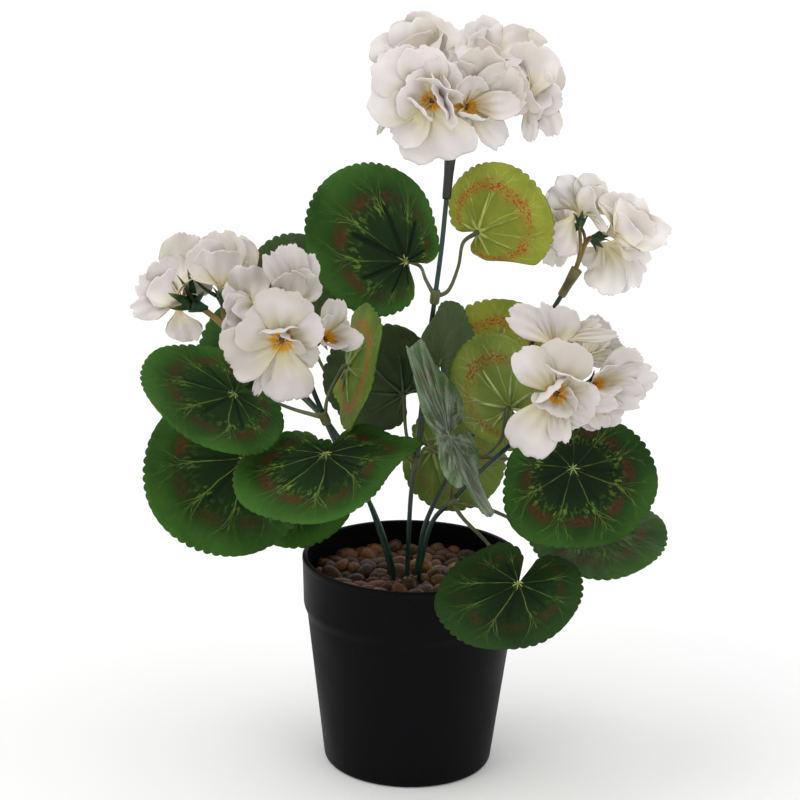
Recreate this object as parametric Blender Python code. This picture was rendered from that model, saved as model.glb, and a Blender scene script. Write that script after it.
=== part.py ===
"""Potted geranium, the made kind that decorates a shelf: a black moulded pot holds a rigid fill and a glued
layer of pebbles, and five coated wire stems stand in it. Each stem carries moulded collars whose stalks hold
the leaves, and ends in a moulded umbel whose stalks hold the florets.

Metres, +Z up. The origin is the centre of the pot's flat base, and -Y is the front.
"""

import math
import random

import bmesh
import bpy
from mathutils import Matrix, Vector

MM = 0.001
FIT = 0.3 * MM  # clearance kept wherever two pieces meet

# Pot: a tapered shell with a wider band under its lip. Radii and heights in metres.
POT_HEIGHT = 108.4 * MM
RIM_RADIUS = 55.0 * MM
BASE_RADIUS = 42.4 * MM
WALL = 2.0 * MM
LIP = 2.6 * MM
BAND_HEIGHT = 25.0 * MM
BAND_STEP = 1.9 * MM
SHOULDER = 5.0 * MM
BASE_ROUND = 1.5 * MM

# What the pot holds.
FLOOR = 2.4 * MM
FILL_TOP = 86.0 * MM
PEBBLE_TOP = 98.0 * MM
PEBBLE_RISE = 3.0 * MM

# Stems: coated wire, standing upright in the fill and bending out above the pebbles.
STEM_RADIUS = 1.2 * MM
STEM_FOOT = 40.0 * MM
STEM_STRAIGHT_TO = 101.5 * MM
STEM_SIDES = 8

# Leaf collars and stalks.
COLLAR_RADIUS = 2.4 * MM
COLLAR_HALF = 3.5 * MM
STALK_RADIUS = 1.0 * MM
STALK_SIDES = 6

# Leaves: thin sheets, whose margin is a circle about a point on the midrib.
LEAF_THICKNESS = 0.8 * MM
LEAF_SECTORS = 22
LEAF_RINGS = (0.5, 1.0)

# Umbels and florets.
SOCKET_RADIUS = (2.0 * MM, 2.3 * MM, 2.8 * MM)
SOCKET_DEPTH = 9.0 * MM
PEDICEL_RADIUS = 0.9 * MM
CALYX_LENGTH = 5.0 * MM
CALYX_RADIUS = 2.4 * MM
FLORET_THICKNESS = 0.9 * MM
PETALS = 5

# Each stem: where it stands in the pot, then its route above the pebbles, in millimetres.
STEMS = {
    "stem_centre": [(-2, 1), (-1.2, 0, 137), (0.6, 0, 155), (2.4, -1, 175), (5, -3, 210), (8.5, -5, 243),
                    (11, -5, 267), (12.8, -4, 291)],
    "stem_right_back": [(3, 4), (6.8, 5, 124), (17, 8, 146), (30, 13, 169), (51, 17, 203), (64, 17, 227),
                        (71, 16, 240)],
    "stem_right_front": [(4, -4.5), (9.6, -8, 128), (20, -12, 142), (31, -18, 157), (42, -24, 170),
                         (54, -30, 184), (63, -35, 195)],
    "stem_left_front": [(-9, -4), (-14, -8, 120), (-22, -13, 141), (-37, -23, 171), (-47, -29, 196),
                        (-51, -31, 207), (-55, -33, 217)],
    "stem_left_back": [(-11, 3), (-16, 5, 117), (-23, 7, 136), (-36, 10, 163), (-54, 11, 186),
                       (-70, 9, 200), (-80, 8, 209)],
}

# Each collar: its stem, the height that it sits at (mm), and the leaves it holds.
COLLARS = {
    "leaf_spray_upper": ("stem_centre", 243, ("leaf_upper_left", "leaf_upper_right")),
    "leaf_spray_centre": ("stem_centre", 157, ("leaf_centre_back", "leaf_front_left", "leaf_pale_low",
                                               "leaf_centre_high")),
    "leaf_spray_right_back": ("stem_right_back", 156, ("leaf_right_front", "leaf_pale_right", "leaf_pale_back")),
    "leaf_spray_right_front": ("stem_right_front", 141, ("leaf_centre_front", "leaf_front_low",
                                                         "leaf_right_low")),
    "leaf_spray_left_front": ("stem_left_front", 187, ("leaf_left_high", "leaf_folded_left")),
    "leaf_spray_left_back": ("stem_left_back", 140, ("leaf_left_low", "leaf_under_left", "leaf_back_left",
                                                     "leaf_back_high")),
}

# Each leaf: where its stalk meets it (mm), which way its upper face looks (azimuth from the front towards +X,
# elevation), the clock angle of its midrib seen from that face, its radius (mm), how far the circle's centre
# lies past the stalk (as a share of the radius), the half angle of its notch, how much it cups, its lobes (angle,
# growth, width), its bends (line angle, distance from the stalk as a share of the radius, bend, roll radius as a
# share), and the points (mm) that its stalk passes, if it isn't the plain arch.
LEAVES = {
    "leaf_upper_left": dict(at=(-6, 13, 256), face=(-34, 5), clock=296, radius=38.5, offset=0.52, notch=30,
                            cup=0.1),
    "leaf_upper_right": dict(at=(29, 9, 273), face=(150, 11), clock=-57, radius=28.5, offset=0.5, notch=24,
                             cup=0.05, bends=[(128, 0.42, 150, 0.1)],
                             via=[(15, -3, 246), (19.5, 1, 257), (21.5, 4, 268)]),
    "leaf_left_high": dict(at=(-87, -27, 198), face=(44, 56), clock=262, radius=37, offset=0.45, notch=12,
                           cup=0.08, via=[(-58, -18, 188), (-74, -14, 192)]),
    "leaf_left_low": dict(at=(-83, -2, 158), face=(0, 26), clock=228, radius=43, offset=0.25, notch=12,
                          cup=0.1, via=[(-40, -1, 152), (-62, 5, 155)]),
    "leaf_front_left": dict(at=(-42, -46, 175), face=(-24, 66), clock=162, radius=41.5, offset=0.42, notch=25,
                            cup=0.1, lobes=[(86, 0.27, 12), (54, -0.15, 20)]),
    "leaf_under_left": dict(at=(-57, 26, 143), face=(-16, 28), clock=178, radius=31, offset=0.32, notch=12,
                            cup=0.06, via=[(-27, 24, 141), (-44, 36, 139)]),
    "leaf_folded_left": dict(at=(-32, -18, 210), face=(105, -14), clock=-80, radius=32.5, offset=0.2,
                             notch=16, cup=0.03, lobes=[(170, -0.2, 25), (-170, -0.2, 25), (112, -0.28, 34)],
                             via=[(-42, -21, 197)]),
    "leaf_centre_back": dict(at=(-6, 8, 190), face=(186, 6), clock=55, radius=28.5, offset=0.5, notch=42,
                             cup=0.06, via=[(-4, -1, 172)]),
    "leaf_centre_front": dict(at=(16.2, -56, 188.6), face=(81, 26), clock=280, radius=45, offset=0.08,
                              notch=5, cup=0.04,
                              lobes=[(-110, 0.12, 14), (-55, 0.2, 12), (0, -0.42, 36), (60, -0.38, 20),
                                     (114, 0.06, 9), (140, -0.14, 14), (180, 0.35, 12), (-180, 0.35, 12)]),
    "leaf_centre_high": dict(at=(12, 3.5, 208), face=(57, 0), clock=0, radius=25.4, offset=0.22, notch=14,
                             cup=0.08, lobes=[(-110, -0.2, 28)], via=[(4, 4, 172), (5.5, 5, 195)]),
    "leaf_pale_right": dict(at=(46.5, -15, 191), face=(146, 7), clock=54, radius=30.3, offset=0.31, notch=14,
                            cup=0.08, via=[(32, -4, 161), (42, -16.5, 174)]),
    "leaf_pale_back": dict(at=(41, 32, 200), face=(176, 12), clock=0, radius=29, offset=0.23, notch=14,
                           cup=0.08),
    "leaf_pale_low": dict(at=(9, 22, 157), face=(190, -14), clock=252, radius=28, offset=0.45, notch=14,
                          cup=0.08),
    "leaf_right_front": dict(at=(76, -45, 170), face=(-8, 44), clock=152, radius=36.5, offset=0.26, notch=4,
                             cup=0.1, lobes=[(-62, 0.1, 25), (180, 0.42, 11), (-180, 0.42, 11)],
                             via=[(36, 2, 160), (52, -12, 163), (66, -30, 165)]),
    "leaf_right_low": dict(at=(86, -22, 135), face=(2, 68), clock=164, radius=34.5, offset=0.34, notch=14,
                           cup=0.08, via=[(36, -15, 139), (55, -18, 132), (74, -20, 126)]),
    "leaf_front_low": dict(at=(51, -66, 119), face=(-24, 60), clock=182, radius=35.5, offset=0.3, notch=12,
                           cup=0.1, via=[(25, -17, 134), (35, -27, 127), (46, -40, 118), (50, -54, 113)]),
    "leaf_back_high": dict(at=(-61.5, 54, 233), face=(-8, -6), clock=0, radius=24.5, offset=0.2, notch=14,
                           cup=0.08, via=[(-36, 32, 172), (-54, 54, 204)]),
    "leaf_back_left": dict(at=(-76, 26, 196), face=(-30, 12), clock=-60, radius=31, offset=0.3, notch=14,
                           cup=0.08, via=[(-38, 24, 162), (-62, 33, 184)]),
}

# Each umbel: its stem, the point its stalks spread from, and its florets. A floret is where it meets its calyx
# (mm), which way it opens (azimuth, elevation), its radius and its depth (mm).
UMBELS = {
    "top": ("stem_centre", (14.5, -3, 317), [
        ((5, -23, 341), (-12, 8), 29, 12),
        ((20, -19, 338), (38, 2), 26, 13),
        ((43, 0, 339), (95, 5), 23, 16),
        ((3, 0, 355), (-50, 50), 22.5, 15),
        ((30, 8, 353), (40, 62), 24, 14),
        ((23, 24, 344), (180, 15), 22, 14),
        ((-6, 6, 339), (-95, -2), 22, 14)]),
    "right_high": ("stem_right_back", (78, 14, 254), [
        ((79, 14, 279), (170, 55), 24, 14),
        ((90, 13, 272), (75, 18), 23, 24),
        ((88, 22, 266), (120, -30), 24, 15),
        ((76, 24, 273), (-140, -10), 20, 13)]),
    "right_low": ("stem_right_front", (70, -41, 209), [
        ((65, -70, 214), (-5, 4), 26, 9),
        ((65, -50, 229), (-10, 62), 21, 18),
        ((83, -46, 212), (70, 12), 14, 24),
        ((82, -52, 205), (40, -35), 13, 16),
        ((80, -28, 219), (140, 25), 17, 14)]),
    "left_front": ("stem_left_front", (-64, -38, 231), [
        ((-62, -64, 235), (-5, 4), 26, 9),
        ((-58, -44, 245), (5, 66), 20, 24),
        ((-44, -50, 232), (50, 6), 13, 22),
        ((-74, -40, 241), (-75, 25), 22, 14)]),
    "left_back": ("stem_left_back", (-91, 5, 219), [
        ((-112, 3, 235), (-76, 20), 26, 19),
        ((-96, 4, 240), (-12, 72), 22, 24),
        ((-86, 20, 240), (120, 42), 20, 13)]),
}
UMBEL_NODE = "umbel_{}"
FLORET_NODE = "floret_{}_{}"
FLORET_GAP = 1.6 * MM  # between the middle surfaces of neighbouring florets, which press on one another

PEBBLE_SEED = 11
PEBBLE_COUNT = 90
PEBBLE_SPREAD = 46.0 * MM
PEBBLE_SIZE = (4.0 * MM, 6.5 * MM)


def clear_scene():
    for obj in list(bpy.data.objects):
        bpy.data.objects.remove(obj, do_unlink=True)


def make_material(name, color, roughness, metallic=0.0):
    material = bpy.data.materials.new(name)
    material.use_nodes = True
    shader = material.node_tree.nodes["Principled BSDF"]
    shader.inputs["Base Color"].default_value = (*color, 1.0)
    shader.inputs["Roughness"].default_value = roughness
    shader.inputs["Metallic"].default_value = metallic
    material.diffuse_color = (*color, 1.0)
    return material


def make_materials():
    return {
        "pot": make_material("black_moulded_plastic", (0.012, 0.012, 0.014), 0.45),
        "fill": make_material("foam_fill", (0.16, 0.14, 0.11), 0.95),
        "pebble": make_material("brown_pebble", (0.19, 0.10, 0.06), 0.4),
        "wire": make_material("green_coated_wire", (0.012, 0.05, 0.03), 0.35),
        "moulding": make_material("olive_moulded_stalk", (0.09, 0.10, 0.03), 0.5),
        "leaf": make_material("green_leaf_cloth", (0.03, 0.11, 0.02), 0.6),
        "pale_leaf": make_material("pale_leaf_cloth", (0.22, 0.30, 0.04), 0.65),
        "petal": make_material("white_petal_cloth", (0.80, 0.76, 0.70), 0.7),
    }


def add_object(name, mesh_builder, material=None):
    """Turns a bmesh into a linked object with its normals facing out."""
    bmesh.ops.recalc_face_normals(mesh_builder, faces=mesh_builder.faces)
    mesh = bpy.data.meshes.new(name)
    mesh_builder.to_mesh(mesh)
    mesh_builder.free()
    obj = bpy.data.objects.new(name, mesh)
    bpy.context.scene.collection.objects.link(obj)
    if material:
        mesh.materials.append(material)
    mesh.shade_smooth()
    return obj


def as_helper(obj):
    """A cutter or a tool of a union: it shapes its target and isn't a piece itself."""
    obj.hide_render = True
    obj.display_type = "WIRE"
    return obj


def add_boolean(obj, operation, tool):
    modifier = obj.modifiers.new(f"{operation.lower()}_{tool.name}", "BOOLEAN")
    modifier.operation = operation
    modifier.solver = "EXACT"
    modifier.object = as_helper(tool)


def skin_rings(builder, rings):
    """Joins rings of equal length side by side, and closes the first and the last with a flat face."""
    made = [[builder.verts.new(point) for point in ring] for ring in rings]
    for near, far in zip(made, made[1:]):
        for i in range(len(near)):
            j = (i + 1) % len(near)
            builder.faces.new((near[i], near[j], far[j], far[i]))
    builder.faces.new(reversed(made[0]))
    builder.faces.new(made[-1])


def turned_solid(name, profile, steps, material):
    """A solid of revolution about Z from (radius, height) points, closed by flat discs at both ends."""
    builder = bmesh.new()
    rings = []
    for radius, height in profile:
        turn = [2 * math.pi * i / steps for i in range(steps)]
        rings.append([(radius * math.cos(a), radius * math.sin(a), height) for a in turn])
    skin_rings(builder, rings)
    return add_object(name, builder, material)


def smooth_route(points, steps):
    """Points along a Catmull-Rom curve through the given ones, with the same number of steps on each span."""
    ends = [2 * points[0] - points[1], *points, 2 * points[-1] - points[-2]]
    route = []
    for a, b, c, d in zip(ends, ends[1:], ends[2:], ends[3:]):
        for i in range(steps):
            t = i / steps
            bend = 2 * a - 5 * b + 4 * c - d
            twist = 3 * b - a - 3 * c + d
            route.append(0.5 * (2 * b + (c - a) * t + bend * t * t + twist * t ** 3))
    return [*route, points[-1]]


def tube(name, route, radii, sides, material=None):
    """A round bar along a route, whose rings keep their turn from one to the next, so that they don't twist."""
    builder = bmesh.new()
    tangent = (route[1] - route[0]).normalized()
    side = tangent.orthogonal().normalized()
    rings = []
    for i, point in enumerate(route):
        after = route[min(i + 1, len(route) - 1)] - route[max(i - 1, 0)]
        turned = tangent.rotation_difference(after.normalized())
        tangent = after.normalized()
        side = (turned @ side).normalized()
        other = tangent.cross(side)
        spokes = [2 * math.pi * k / sides for k in range(sides)]
        rings.append([point + radii[i] * (side * math.cos(a) + other * math.sin(a)) for a in spokes])
    skin_rings(builder, rings)
    return add_object(name, builder, material)


def pot_profile():
    """The outer wall from the base up, over the lip, and down inside to the floor."""
    band_foot = POT_HEIGHT - BAND_HEIGHT
    band_radius = RIM_RADIUS - 1.0 * MM
    shoulder_radius = band_radius - BAND_STEP
    return [
        (BASE_RADIUS - BASE_ROUND, 0.0),
        (BASE_RADIUS, BASE_ROUND),
        (shoulder_radius, band_foot - SHOULDER),
        (band_radius, band_foot),
        (RIM_RADIUS, POT_HEIGHT - 0.6 * MM),
        (RIM_RADIUS - 0.6 * MM, POT_HEIGHT),
        (RIM_RADIUS - LIP + 0.5 * MM, POT_HEIGHT),
        (RIM_RADIUS - LIP, POT_HEIGHT - 0.8 * MM),
        (band_radius - WALL, band_foot),
        (shoulder_radius - WALL, band_foot - SHOULDER),
        (BASE_RADIUS - WALL, FLOOR + 1.0 * MM),
        (BASE_RADIUS - WALL - 1.0 * MM, FLOOR),
    ]


def inner_radius(height):
    """The pot's inner radius at a height, from the straight runs of its profile."""
    inner = sorted((h, r) for r, h in pot_profile()[7:])
    for (low, near), (high, far) in zip(inner, inner[1:]):
        if low <= height <= high:
            return near + (far - near) * (height - low) / (high - low)
    return inner[0][1]


def make_pot(materials):
    return turned_solid("pot", pot_profile(), 56, materials["pot"])


def stem_footprints():
    return [Vector((*STEMS[name][0], 0)) * MM for name in STEMS]


def cut_stem_holes(obj, low, high):
    """Bores an upright hole for each stem, one fit wider than the stem all round."""
    for i, foot in enumerate(stem_footprints()):
        route = [foot + Vector((0, 0, low)), foot + Vector((0, 0, high))]
        hole = tube(f"{obj.name}_hole_{i}", route, [STEM_RADIUS + FIT] * 2, STEM_SIDES)
        add_boolean(obj, "DIFFERENCE", hole)


def make_fill(materials):
    low = FLOOR + FIT
    heights = (low, FLOOR + 1.3 * MM, POT_HEIGHT - BAND_HEIGHT - SHOULDER, FILL_TOP - 3 * MM, FILL_TOP)
    profile = [(inner_radius(h) - 2 * FIT, h) for h in heights]
    fill = turned_solid("pot_fill", profile, 40, materials["fill"])
    cut_stem_holes(fill, STEM_FOOT - FIT, FILL_TOP + 5 * MM)
    return fill


def pebble_tops():
    """The stones of the top layer as (centre, half width, rise), more or less evenly spread."""
    chance = random.Random(PEBBLE_SEED)
    stones = []
    for i in range(PEBBLE_COUNT):
        out = PEBBLE_SPREAD * math.sqrt((i + 0.5) / PEBBLE_COUNT)
        turn = i * math.pi * (3 - math.sqrt(5))
        centre = Vector((out * math.cos(turn), out * math.sin(turn)))
        stones.append((centre, chance.uniform(*PEBBLE_SIZE), PEBBLE_RISE * chance.uniform(0.3, 1.0)))
    return stones


def pebble_height(x, y, stones):
    """Height of the glued layer's top at a point: the highest stone's dome there, kept low by the stems."""
    rise = 0.0
    for centre, half, top in stones:
        share = (Vector((x, y)) - centre).length / half
        if share < 1:
            rise = max(rise, top * math.sqrt(1 - share * share))
    near_stems = min(1.0, max(0.0, (math.hypot(x, y) - 14 * MM) / (8 * MM)))
    return PEBBLE_TOP - 0.5 * PEBBLE_RISE + rise * near_stems


def make_pebble_bed(materials):
    """The glued pebbles as one slab with a stony top, over the fill."""
    stones = pebble_tops()
    low = FILL_TOP + FIT
    sectors, rings = 34, 9
    builder = bmesh.new()
    edge = inner_radius(PEBBLE_TOP - 0.5 * PEBBLE_RISE) - 2 * FIT
    turns = [2 * math.pi * i / sectors for i in range(sectors)]
    profile = [[(inner_radius(low) - 2 * FIT, low)] * sectors]
    for k in range(rings):
        radius = edge * (1 - k / rings)
        tops = [pebble_height(radius * math.cos(a), radius * math.sin(a), stones) for a in turns]
        profile.append([(radius, top if k else min(tops)) for top in tops])
    layers = [[(r * math.cos(a), r * math.sin(a), z) for (r, z), a in zip(ring, turns)] for ring in profile]
    skin_rings(builder, layers)
    bed = add_object("pebble_bed", builder, materials["pebble"])
    cut_stem_holes(bed, FILL_TOP - 5 * MM, STEM_STRAIGHT_TO + 5 * MM)
    return bed


def stem_route(name):
    """The whole centreline of a stem, from its foot in the fill to its straight end in the umbel's socket."""
    foot, *rest = STEMS[name]
    low = Vector((*foot, 0)) * MM + Vector((0, 0, STEM_FOOT))
    high = Vector((*foot, 0)) * MM + Vector((0, 0, STEM_STRAIGHT_TO))
    above = [Vector(point) * MM for point in rest]
    spread = next(Vector(spread) * MM for stem, spread, _ in UMBELS.values() if stem == name)
    inside = (spread - above[-1]).normalized() * SOCKET_DEPTH
    return [low, *smooth_route([high, *above], 2), above[-1] + inside]


def make_stem(name, materials):
    route = stem_route(name)
    return tube(name, route, [STEM_RADIUS] * len(route), STEM_SIDES, materials["wire"])


def point_at_height(route, height):
    """The point of a rising route at a height, and the route's direction there."""
    for low, high in zip(route, route[1:]):
        if low.z <= height <= high.z:
            share = (height - low.z) / (high.z - low.z)
            return low.lerp(high, share), (high - low).normalized()
    return route[-1], (route[-1] - route[-2]).normalized()


def direction(azimuth, elevation):
    """A unit vector from an azimuth, which is 0 at the front and turns towards +X, and an elevation."""
    azimuth, elevation = math.radians(azimuth), math.radians(elevation)
    level = math.cos(elevation)
    return Vector((math.sin(azimuth) * level, -math.cos(azimuth) * level, math.sin(elevation)))


def leaf_frame(leaf):
    """(upper face's normal, midrib's direction, sideways direction) of a leaf, from its angles."""
    clock = math.radians(leaf["clock"])
    normal = direction(*leaf["face"])
    up = (Vector((0, 0, 1)) - normal * normal.z).normalized()
    right = up.cross(normal)
    midrib = up * math.cos(clock) + right * math.sin(clock)
    return normal, midrib, normal.cross(midrib)


def leaf_outline(leaf, angle):
    """Distance from the stalk to the margin: rounded off at the notch, drawn out or in at its lobes."""
    radius = leaf["radius"] * MM
    offset = leaf["offset"] * radius
    last = math.pi - math.radians(leaf["notch"])
    to_margin = offset * math.cos(angle) + math.sqrt(radius ** 2 - (offset * math.sin(angle)) ** 2)
    to_margin *= 1 - 0.38 * math.exp(-(last - abs(angle)) / 0.2)
    for middle, grow, width in leaf.get("lobes", ()):
        to_margin *= 1 + grow * math.exp(-((angle - math.radians(middle)) / math.radians(width)) ** 2)
    return to_margin


def bend_point(point, line, radius):
    """Rolls a point about a line of the leaf's plane, past which the sheet turns by the bend's angle."""
    line_angle, distance, bend, roll = line
    across = Vector((math.cos(math.radians(line_angle)), math.sin(math.radians(line_angle)), 0))
    past = point.x * across.x + point.y * across.y - distance * radius
    if past <= 0:
        return point
    full = math.radians(abs(bend))
    roll_radius = roll * radius
    turn = min(past / roll_radius, full)
    straight = past - turn * roll_radius
    moved = roll_radius * math.sin(turn) + straight * math.cos(turn) - point.z * math.sin(turn)
    lifted = roll_radius * (1 - math.cos(turn)) + straight * math.sin(turn)
    lifted = math.copysign(lifted, bend) + point.z * math.cos(turn)
    flat = point + across * (moved - past)
    return Vector((flat.x, flat.y, lifted))


def leaf_point(leaf, share, angle):
    """A point of the leaf's middle surface, at a share of the way from the stalk to the margin."""
    radius = leaf["radius"] * MM
    out = share * leaf_outline(leaf, angle)
    cupped = leaf["cup"] * out ** 2 / radius
    point = Vector((out * math.cos(angle), out * math.sin(angle), cupped))
    for line in leaf.get("bends", ()):
        point = bend_point(point, line, radius)
    normal, midrib, sideways = leaf_frame(leaf)
    return Vector(leaf["at"]) * MM + midrib * point.x + sideways * point.y + normal * point.z


def make_leaf(name, materials):
    """A leaf as a thin closed sheet, open at its notch."""
    leaf = LEAVES[name]
    last = math.pi - math.radians(leaf["notch"])
    builder = bmesh.new()
    stalk = builder.verts.new(leaf_point(leaf, 0, 0))
    angles = [-last + 2 * last * i / LEAF_SECTORS for i in range(LEAF_SECTORS + 1)]
    near = None
    for share in LEAF_RINGS:
        ring = [builder.verts.new(leaf_point(leaf, share, angle)) for angle in angles]
        for i in range(LEAF_SECTORS):
            if near:
                builder.faces.new((near[i], ring[i], ring[i + 1], near[i + 1]))
            else:
                builder.faces.new((stalk, ring[i], ring[i + 1]))
        near = ring
    cloth = materials["pale_leaf" if "pale" in name or name == "leaf_upper_right" else "leaf"]
    obj = add_object(name, builder, cloth)
    sheet = obj.modifiers.new("thickness", "SOLIDIFY")
    sheet.thickness = LEAF_THICKNESS
    sheet.offset = 0.0
    return obj


def stalk_route(leaf, start):
    """A stalk's centreline: it leaves the collar upwards and outwards and meets the leaf from below."""
    normal, midrib, _ = leaf_frame(leaf)
    end = Vector(leaf["at"]) * MM - normal * (0.5 * LEAF_THICKNESS + FIT)
    before = end - normal * 2.5 * MM
    if "via" in leaf:
        middle = [Vector(point) * MM for point in leaf["via"]]
    else:
        span = (end - start).length
        middle = [start.lerp(end, 0.33) + Vector((0, 0, 0.10 * span)), end - (normal + midrib) * 0.2 * span]
    return [*smooth_route([start, *middle, before], 3), end]


def make_spray(name, materials):
    """A collar threaded on its stem, with a stalk for each of its leaves, moulded as one."""
    stem, height, leaves = COLLARS[name]
    route = stem_route(stem)
    centre, along = point_at_height(route, height * MM)
    ends = [centre - along * COLLAR_HALF, centre + along * COLLAR_HALF]
    spray = tube(name, ends, [COLLAR_RADIUS] * 2, STEM_SIDES, materials["moulding"])
    for leaf in leaves:
        path = stalk_route(LEAVES[leaf], centre)
        last = len(path) - 1
        radii = [STALK_RADIUS * (1.25 - 0.35 * math.sin(math.pi * i / last)) for i in range(len(path))]
        add_boolean(spray, "UNION", tube(f"{name}_{leaf}", path, radii, STALK_SIDES))
    hole = tube(f"{name}_hole", route, [STEM_RADIUS + FIT] * len(route), STEM_SIDES)
    add_boolean(spray, "DIFFERENCE", hole)
    return spray


def make_umbel(head, materials):
    """The moulded flower holder: a socket over the stem's end, and a stalk with a calyx for each floret."""
    stem, spread, florets = UMBELS[head]
    name = UMBEL_NODE.format(head)
    spread = Vector(spread) * MM
    foot, end = stem_route(stem)[-2:]
    along = (end - foot).normalized()
    umbel = tube(name, [foot, foot.lerp(spread, 0.5), spread], SOCKET_RADIUS, STEM_SIDES, materials["moulding"])
    for i, (at, face, _, _) in enumerate(florets, 1):
        axis = direction(*face)
        tip = Vector(at) * MM - axis * (0.5 * FLORET_THICKNESS + FIT)
        throat = tip - axis * CALYX_LENGTH
        span = (throat - spread).length
        middle = spread.lerp(throat, 0.5) + (along - axis) * 0.12 * span
        path = [spread - along * 2.5 * MM, middle, throat, tip - axis * 0.45 * CALYX_LENGTH, tip]
        radii = [PEDICEL_RADIUS * 1.3, PEDICEL_RADIUS, PEDICEL_RADIUS * 1.1, CALYX_RADIUS * 0.85, CALYX_RADIUS]
        add_boolean(umbel, "UNION", tube(f"{name}_stalk_{i}", path, radii, STALK_SIDES))
    bore = [foot - along * 2 * MM, end + along * FIT]
    add_boolean(umbel, "DIFFERENCE", tube(f"{name}_bore", bore, [STEM_RADIUS + FIT] * 2, STEM_SIDES))
    return umbel


def floret_middle(floret):
    at, face, _, depth = floret
    return Vector(at) * MM + direction(*face) * 0.55 * depth * MM


def clear_reach(centre, out, reach, floret, neighbours):
    """How far out from its axis a floret's petal gets before it presses on a neighbour, at most its own reach."""
    middle = floret_middle(floret)
    for other in neighbours:
        across = floret_middle(other) - middle
        share = floret[2] / (floret[2] + other[2])
        limit = share * across.length - 0.5 * FLORET_GAP
        towards = across.normalized()
        if out.dot(towards) > 0.01:
            reach = min(reach, (limit - (centre - middle).dot(towards)) / out.dot(towards))
    return max(reach, 1.5 * MM)


def make_floret(head, index, materials):
    """Five joined petals as one thin funnel, seated on its calyx and pressed in where its neighbours are."""
    florets = UMBELS[head][2]
    floret = florets[index - 1]
    neighbours = [other for other in florets if other is not floret]
    at, face, radius, depth = floret
    axis = direction(*face)
    side = axis.orthogonal().normalized()
    other = axis.cross(side)
    builder = bmesh.new()
    base = Vector(at) * MM
    middle = builder.verts.new(base)
    near = None
    sectors = 3 * PETALS
    for share, rise in ((0.16, 0.2), (0.55, 0.7), (1.0, 1.0)):
        ring = []
        for i in range(sectors):
            angle = 2 * math.pi * i / sectors
            lobe = 1 - 0.13 * share * (1 - math.cos(PETALS * angle))
            out = side * math.cos(angle) + other * math.sin(angle)
            centre = base + axis * depth * rise * MM
            reach = clear_reach(centre, out, radius * share * lobe * MM, floret, neighbours)
            ring.append(builder.verts.new(centre + out * reach))
        for i in range(sectors):
            j = (i + 1) % sectors
            if near:
                builder.faces.new((near[i], ring[i], ring[j], near[j]))
            else:
                builder.faces.new((middle, ring[i], ring[j]))
        near = ring
    obj = add_object(FLORET_NODE.format(head, index), builder, materials["petal"])
    sheet = obj.modifiers.new("thickness", "SOLIDIFY")
    sheet.thickness = FLORET_THICKNESS
    sheet.offset = 0.0
    return obj


def main():
    clear_scene()
    materials = make_materials()
    make_pot(materials)
    make_fill(materials)
    make_pebble_bed(materials)
    for name in STEMS:
        make_stem(name, materials)
    for name in COLLARS:
        make_spray(name, materials)
    for name in LEAVES:
        make_leaf(name, materials)
    for head, (_, _, florets) in UMBELS.items():
        make_umbel(head, materials)
        for index in range(1, len(florets) + 1):
            make_floret(head, index, materials)


main()
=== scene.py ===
import math

import bpy
import numpy as np
from mathutils import Matrix


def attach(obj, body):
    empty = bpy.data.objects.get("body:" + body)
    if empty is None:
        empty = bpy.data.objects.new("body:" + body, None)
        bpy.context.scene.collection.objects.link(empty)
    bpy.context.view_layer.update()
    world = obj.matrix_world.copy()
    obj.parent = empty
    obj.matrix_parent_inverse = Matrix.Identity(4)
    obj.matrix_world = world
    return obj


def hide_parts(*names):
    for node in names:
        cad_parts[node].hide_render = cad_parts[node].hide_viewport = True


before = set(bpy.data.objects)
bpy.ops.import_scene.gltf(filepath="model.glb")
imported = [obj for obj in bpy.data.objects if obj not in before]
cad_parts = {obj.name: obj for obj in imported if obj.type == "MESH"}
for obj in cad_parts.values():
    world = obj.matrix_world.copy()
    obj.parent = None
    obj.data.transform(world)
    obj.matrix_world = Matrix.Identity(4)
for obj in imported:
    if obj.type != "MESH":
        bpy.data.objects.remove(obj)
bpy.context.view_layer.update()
print("frame:", len(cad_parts), "nodes")

mm = 0.001


def unit(v):
    # each vector divided by its own length
    return v / np.maximum(np.linalg.norm(v, axis=-1, keepdims=True), 1e-12)


def ease(x, low, high):
    # 3t^2 - 2t^3, where t runs from 0 at low to 1 at high
    t = np.clip((x - low) / (high - low), 0.0, 1.0)
    return t * t * (3 - 2 * t)


def spun(first, second, angle):
    # first * cos + second * sin: the first vector turned towards the second
    return first * np.cos(angle) + second * np.sin(angle)


def spokes(count):
    # equal angles round a full turn
    return np.arange(count) * 2 * np.pi / count


def direction(azimuth, elevation):
    # (sin az cos el, -cos az cos el, sin el): azimuth 0 is the front and it turns towards +X
    a, e = math.radians(azimuth), math.radians(elevation)
    return np.array([math.sin(a) * math.cos(e), -math.cos(a) * math.cos(e), math.sin(e)])


def crossAxes(axis):
    # the coordinate axis that this axis avoids most, made square to it, and the cross product of the two
    lean = np.eye(3)[np.argmin(np.abs(axis))]
    first = unit(lean - axis * (axis @ lean))
    return first, np.cross(axis, first)


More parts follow.
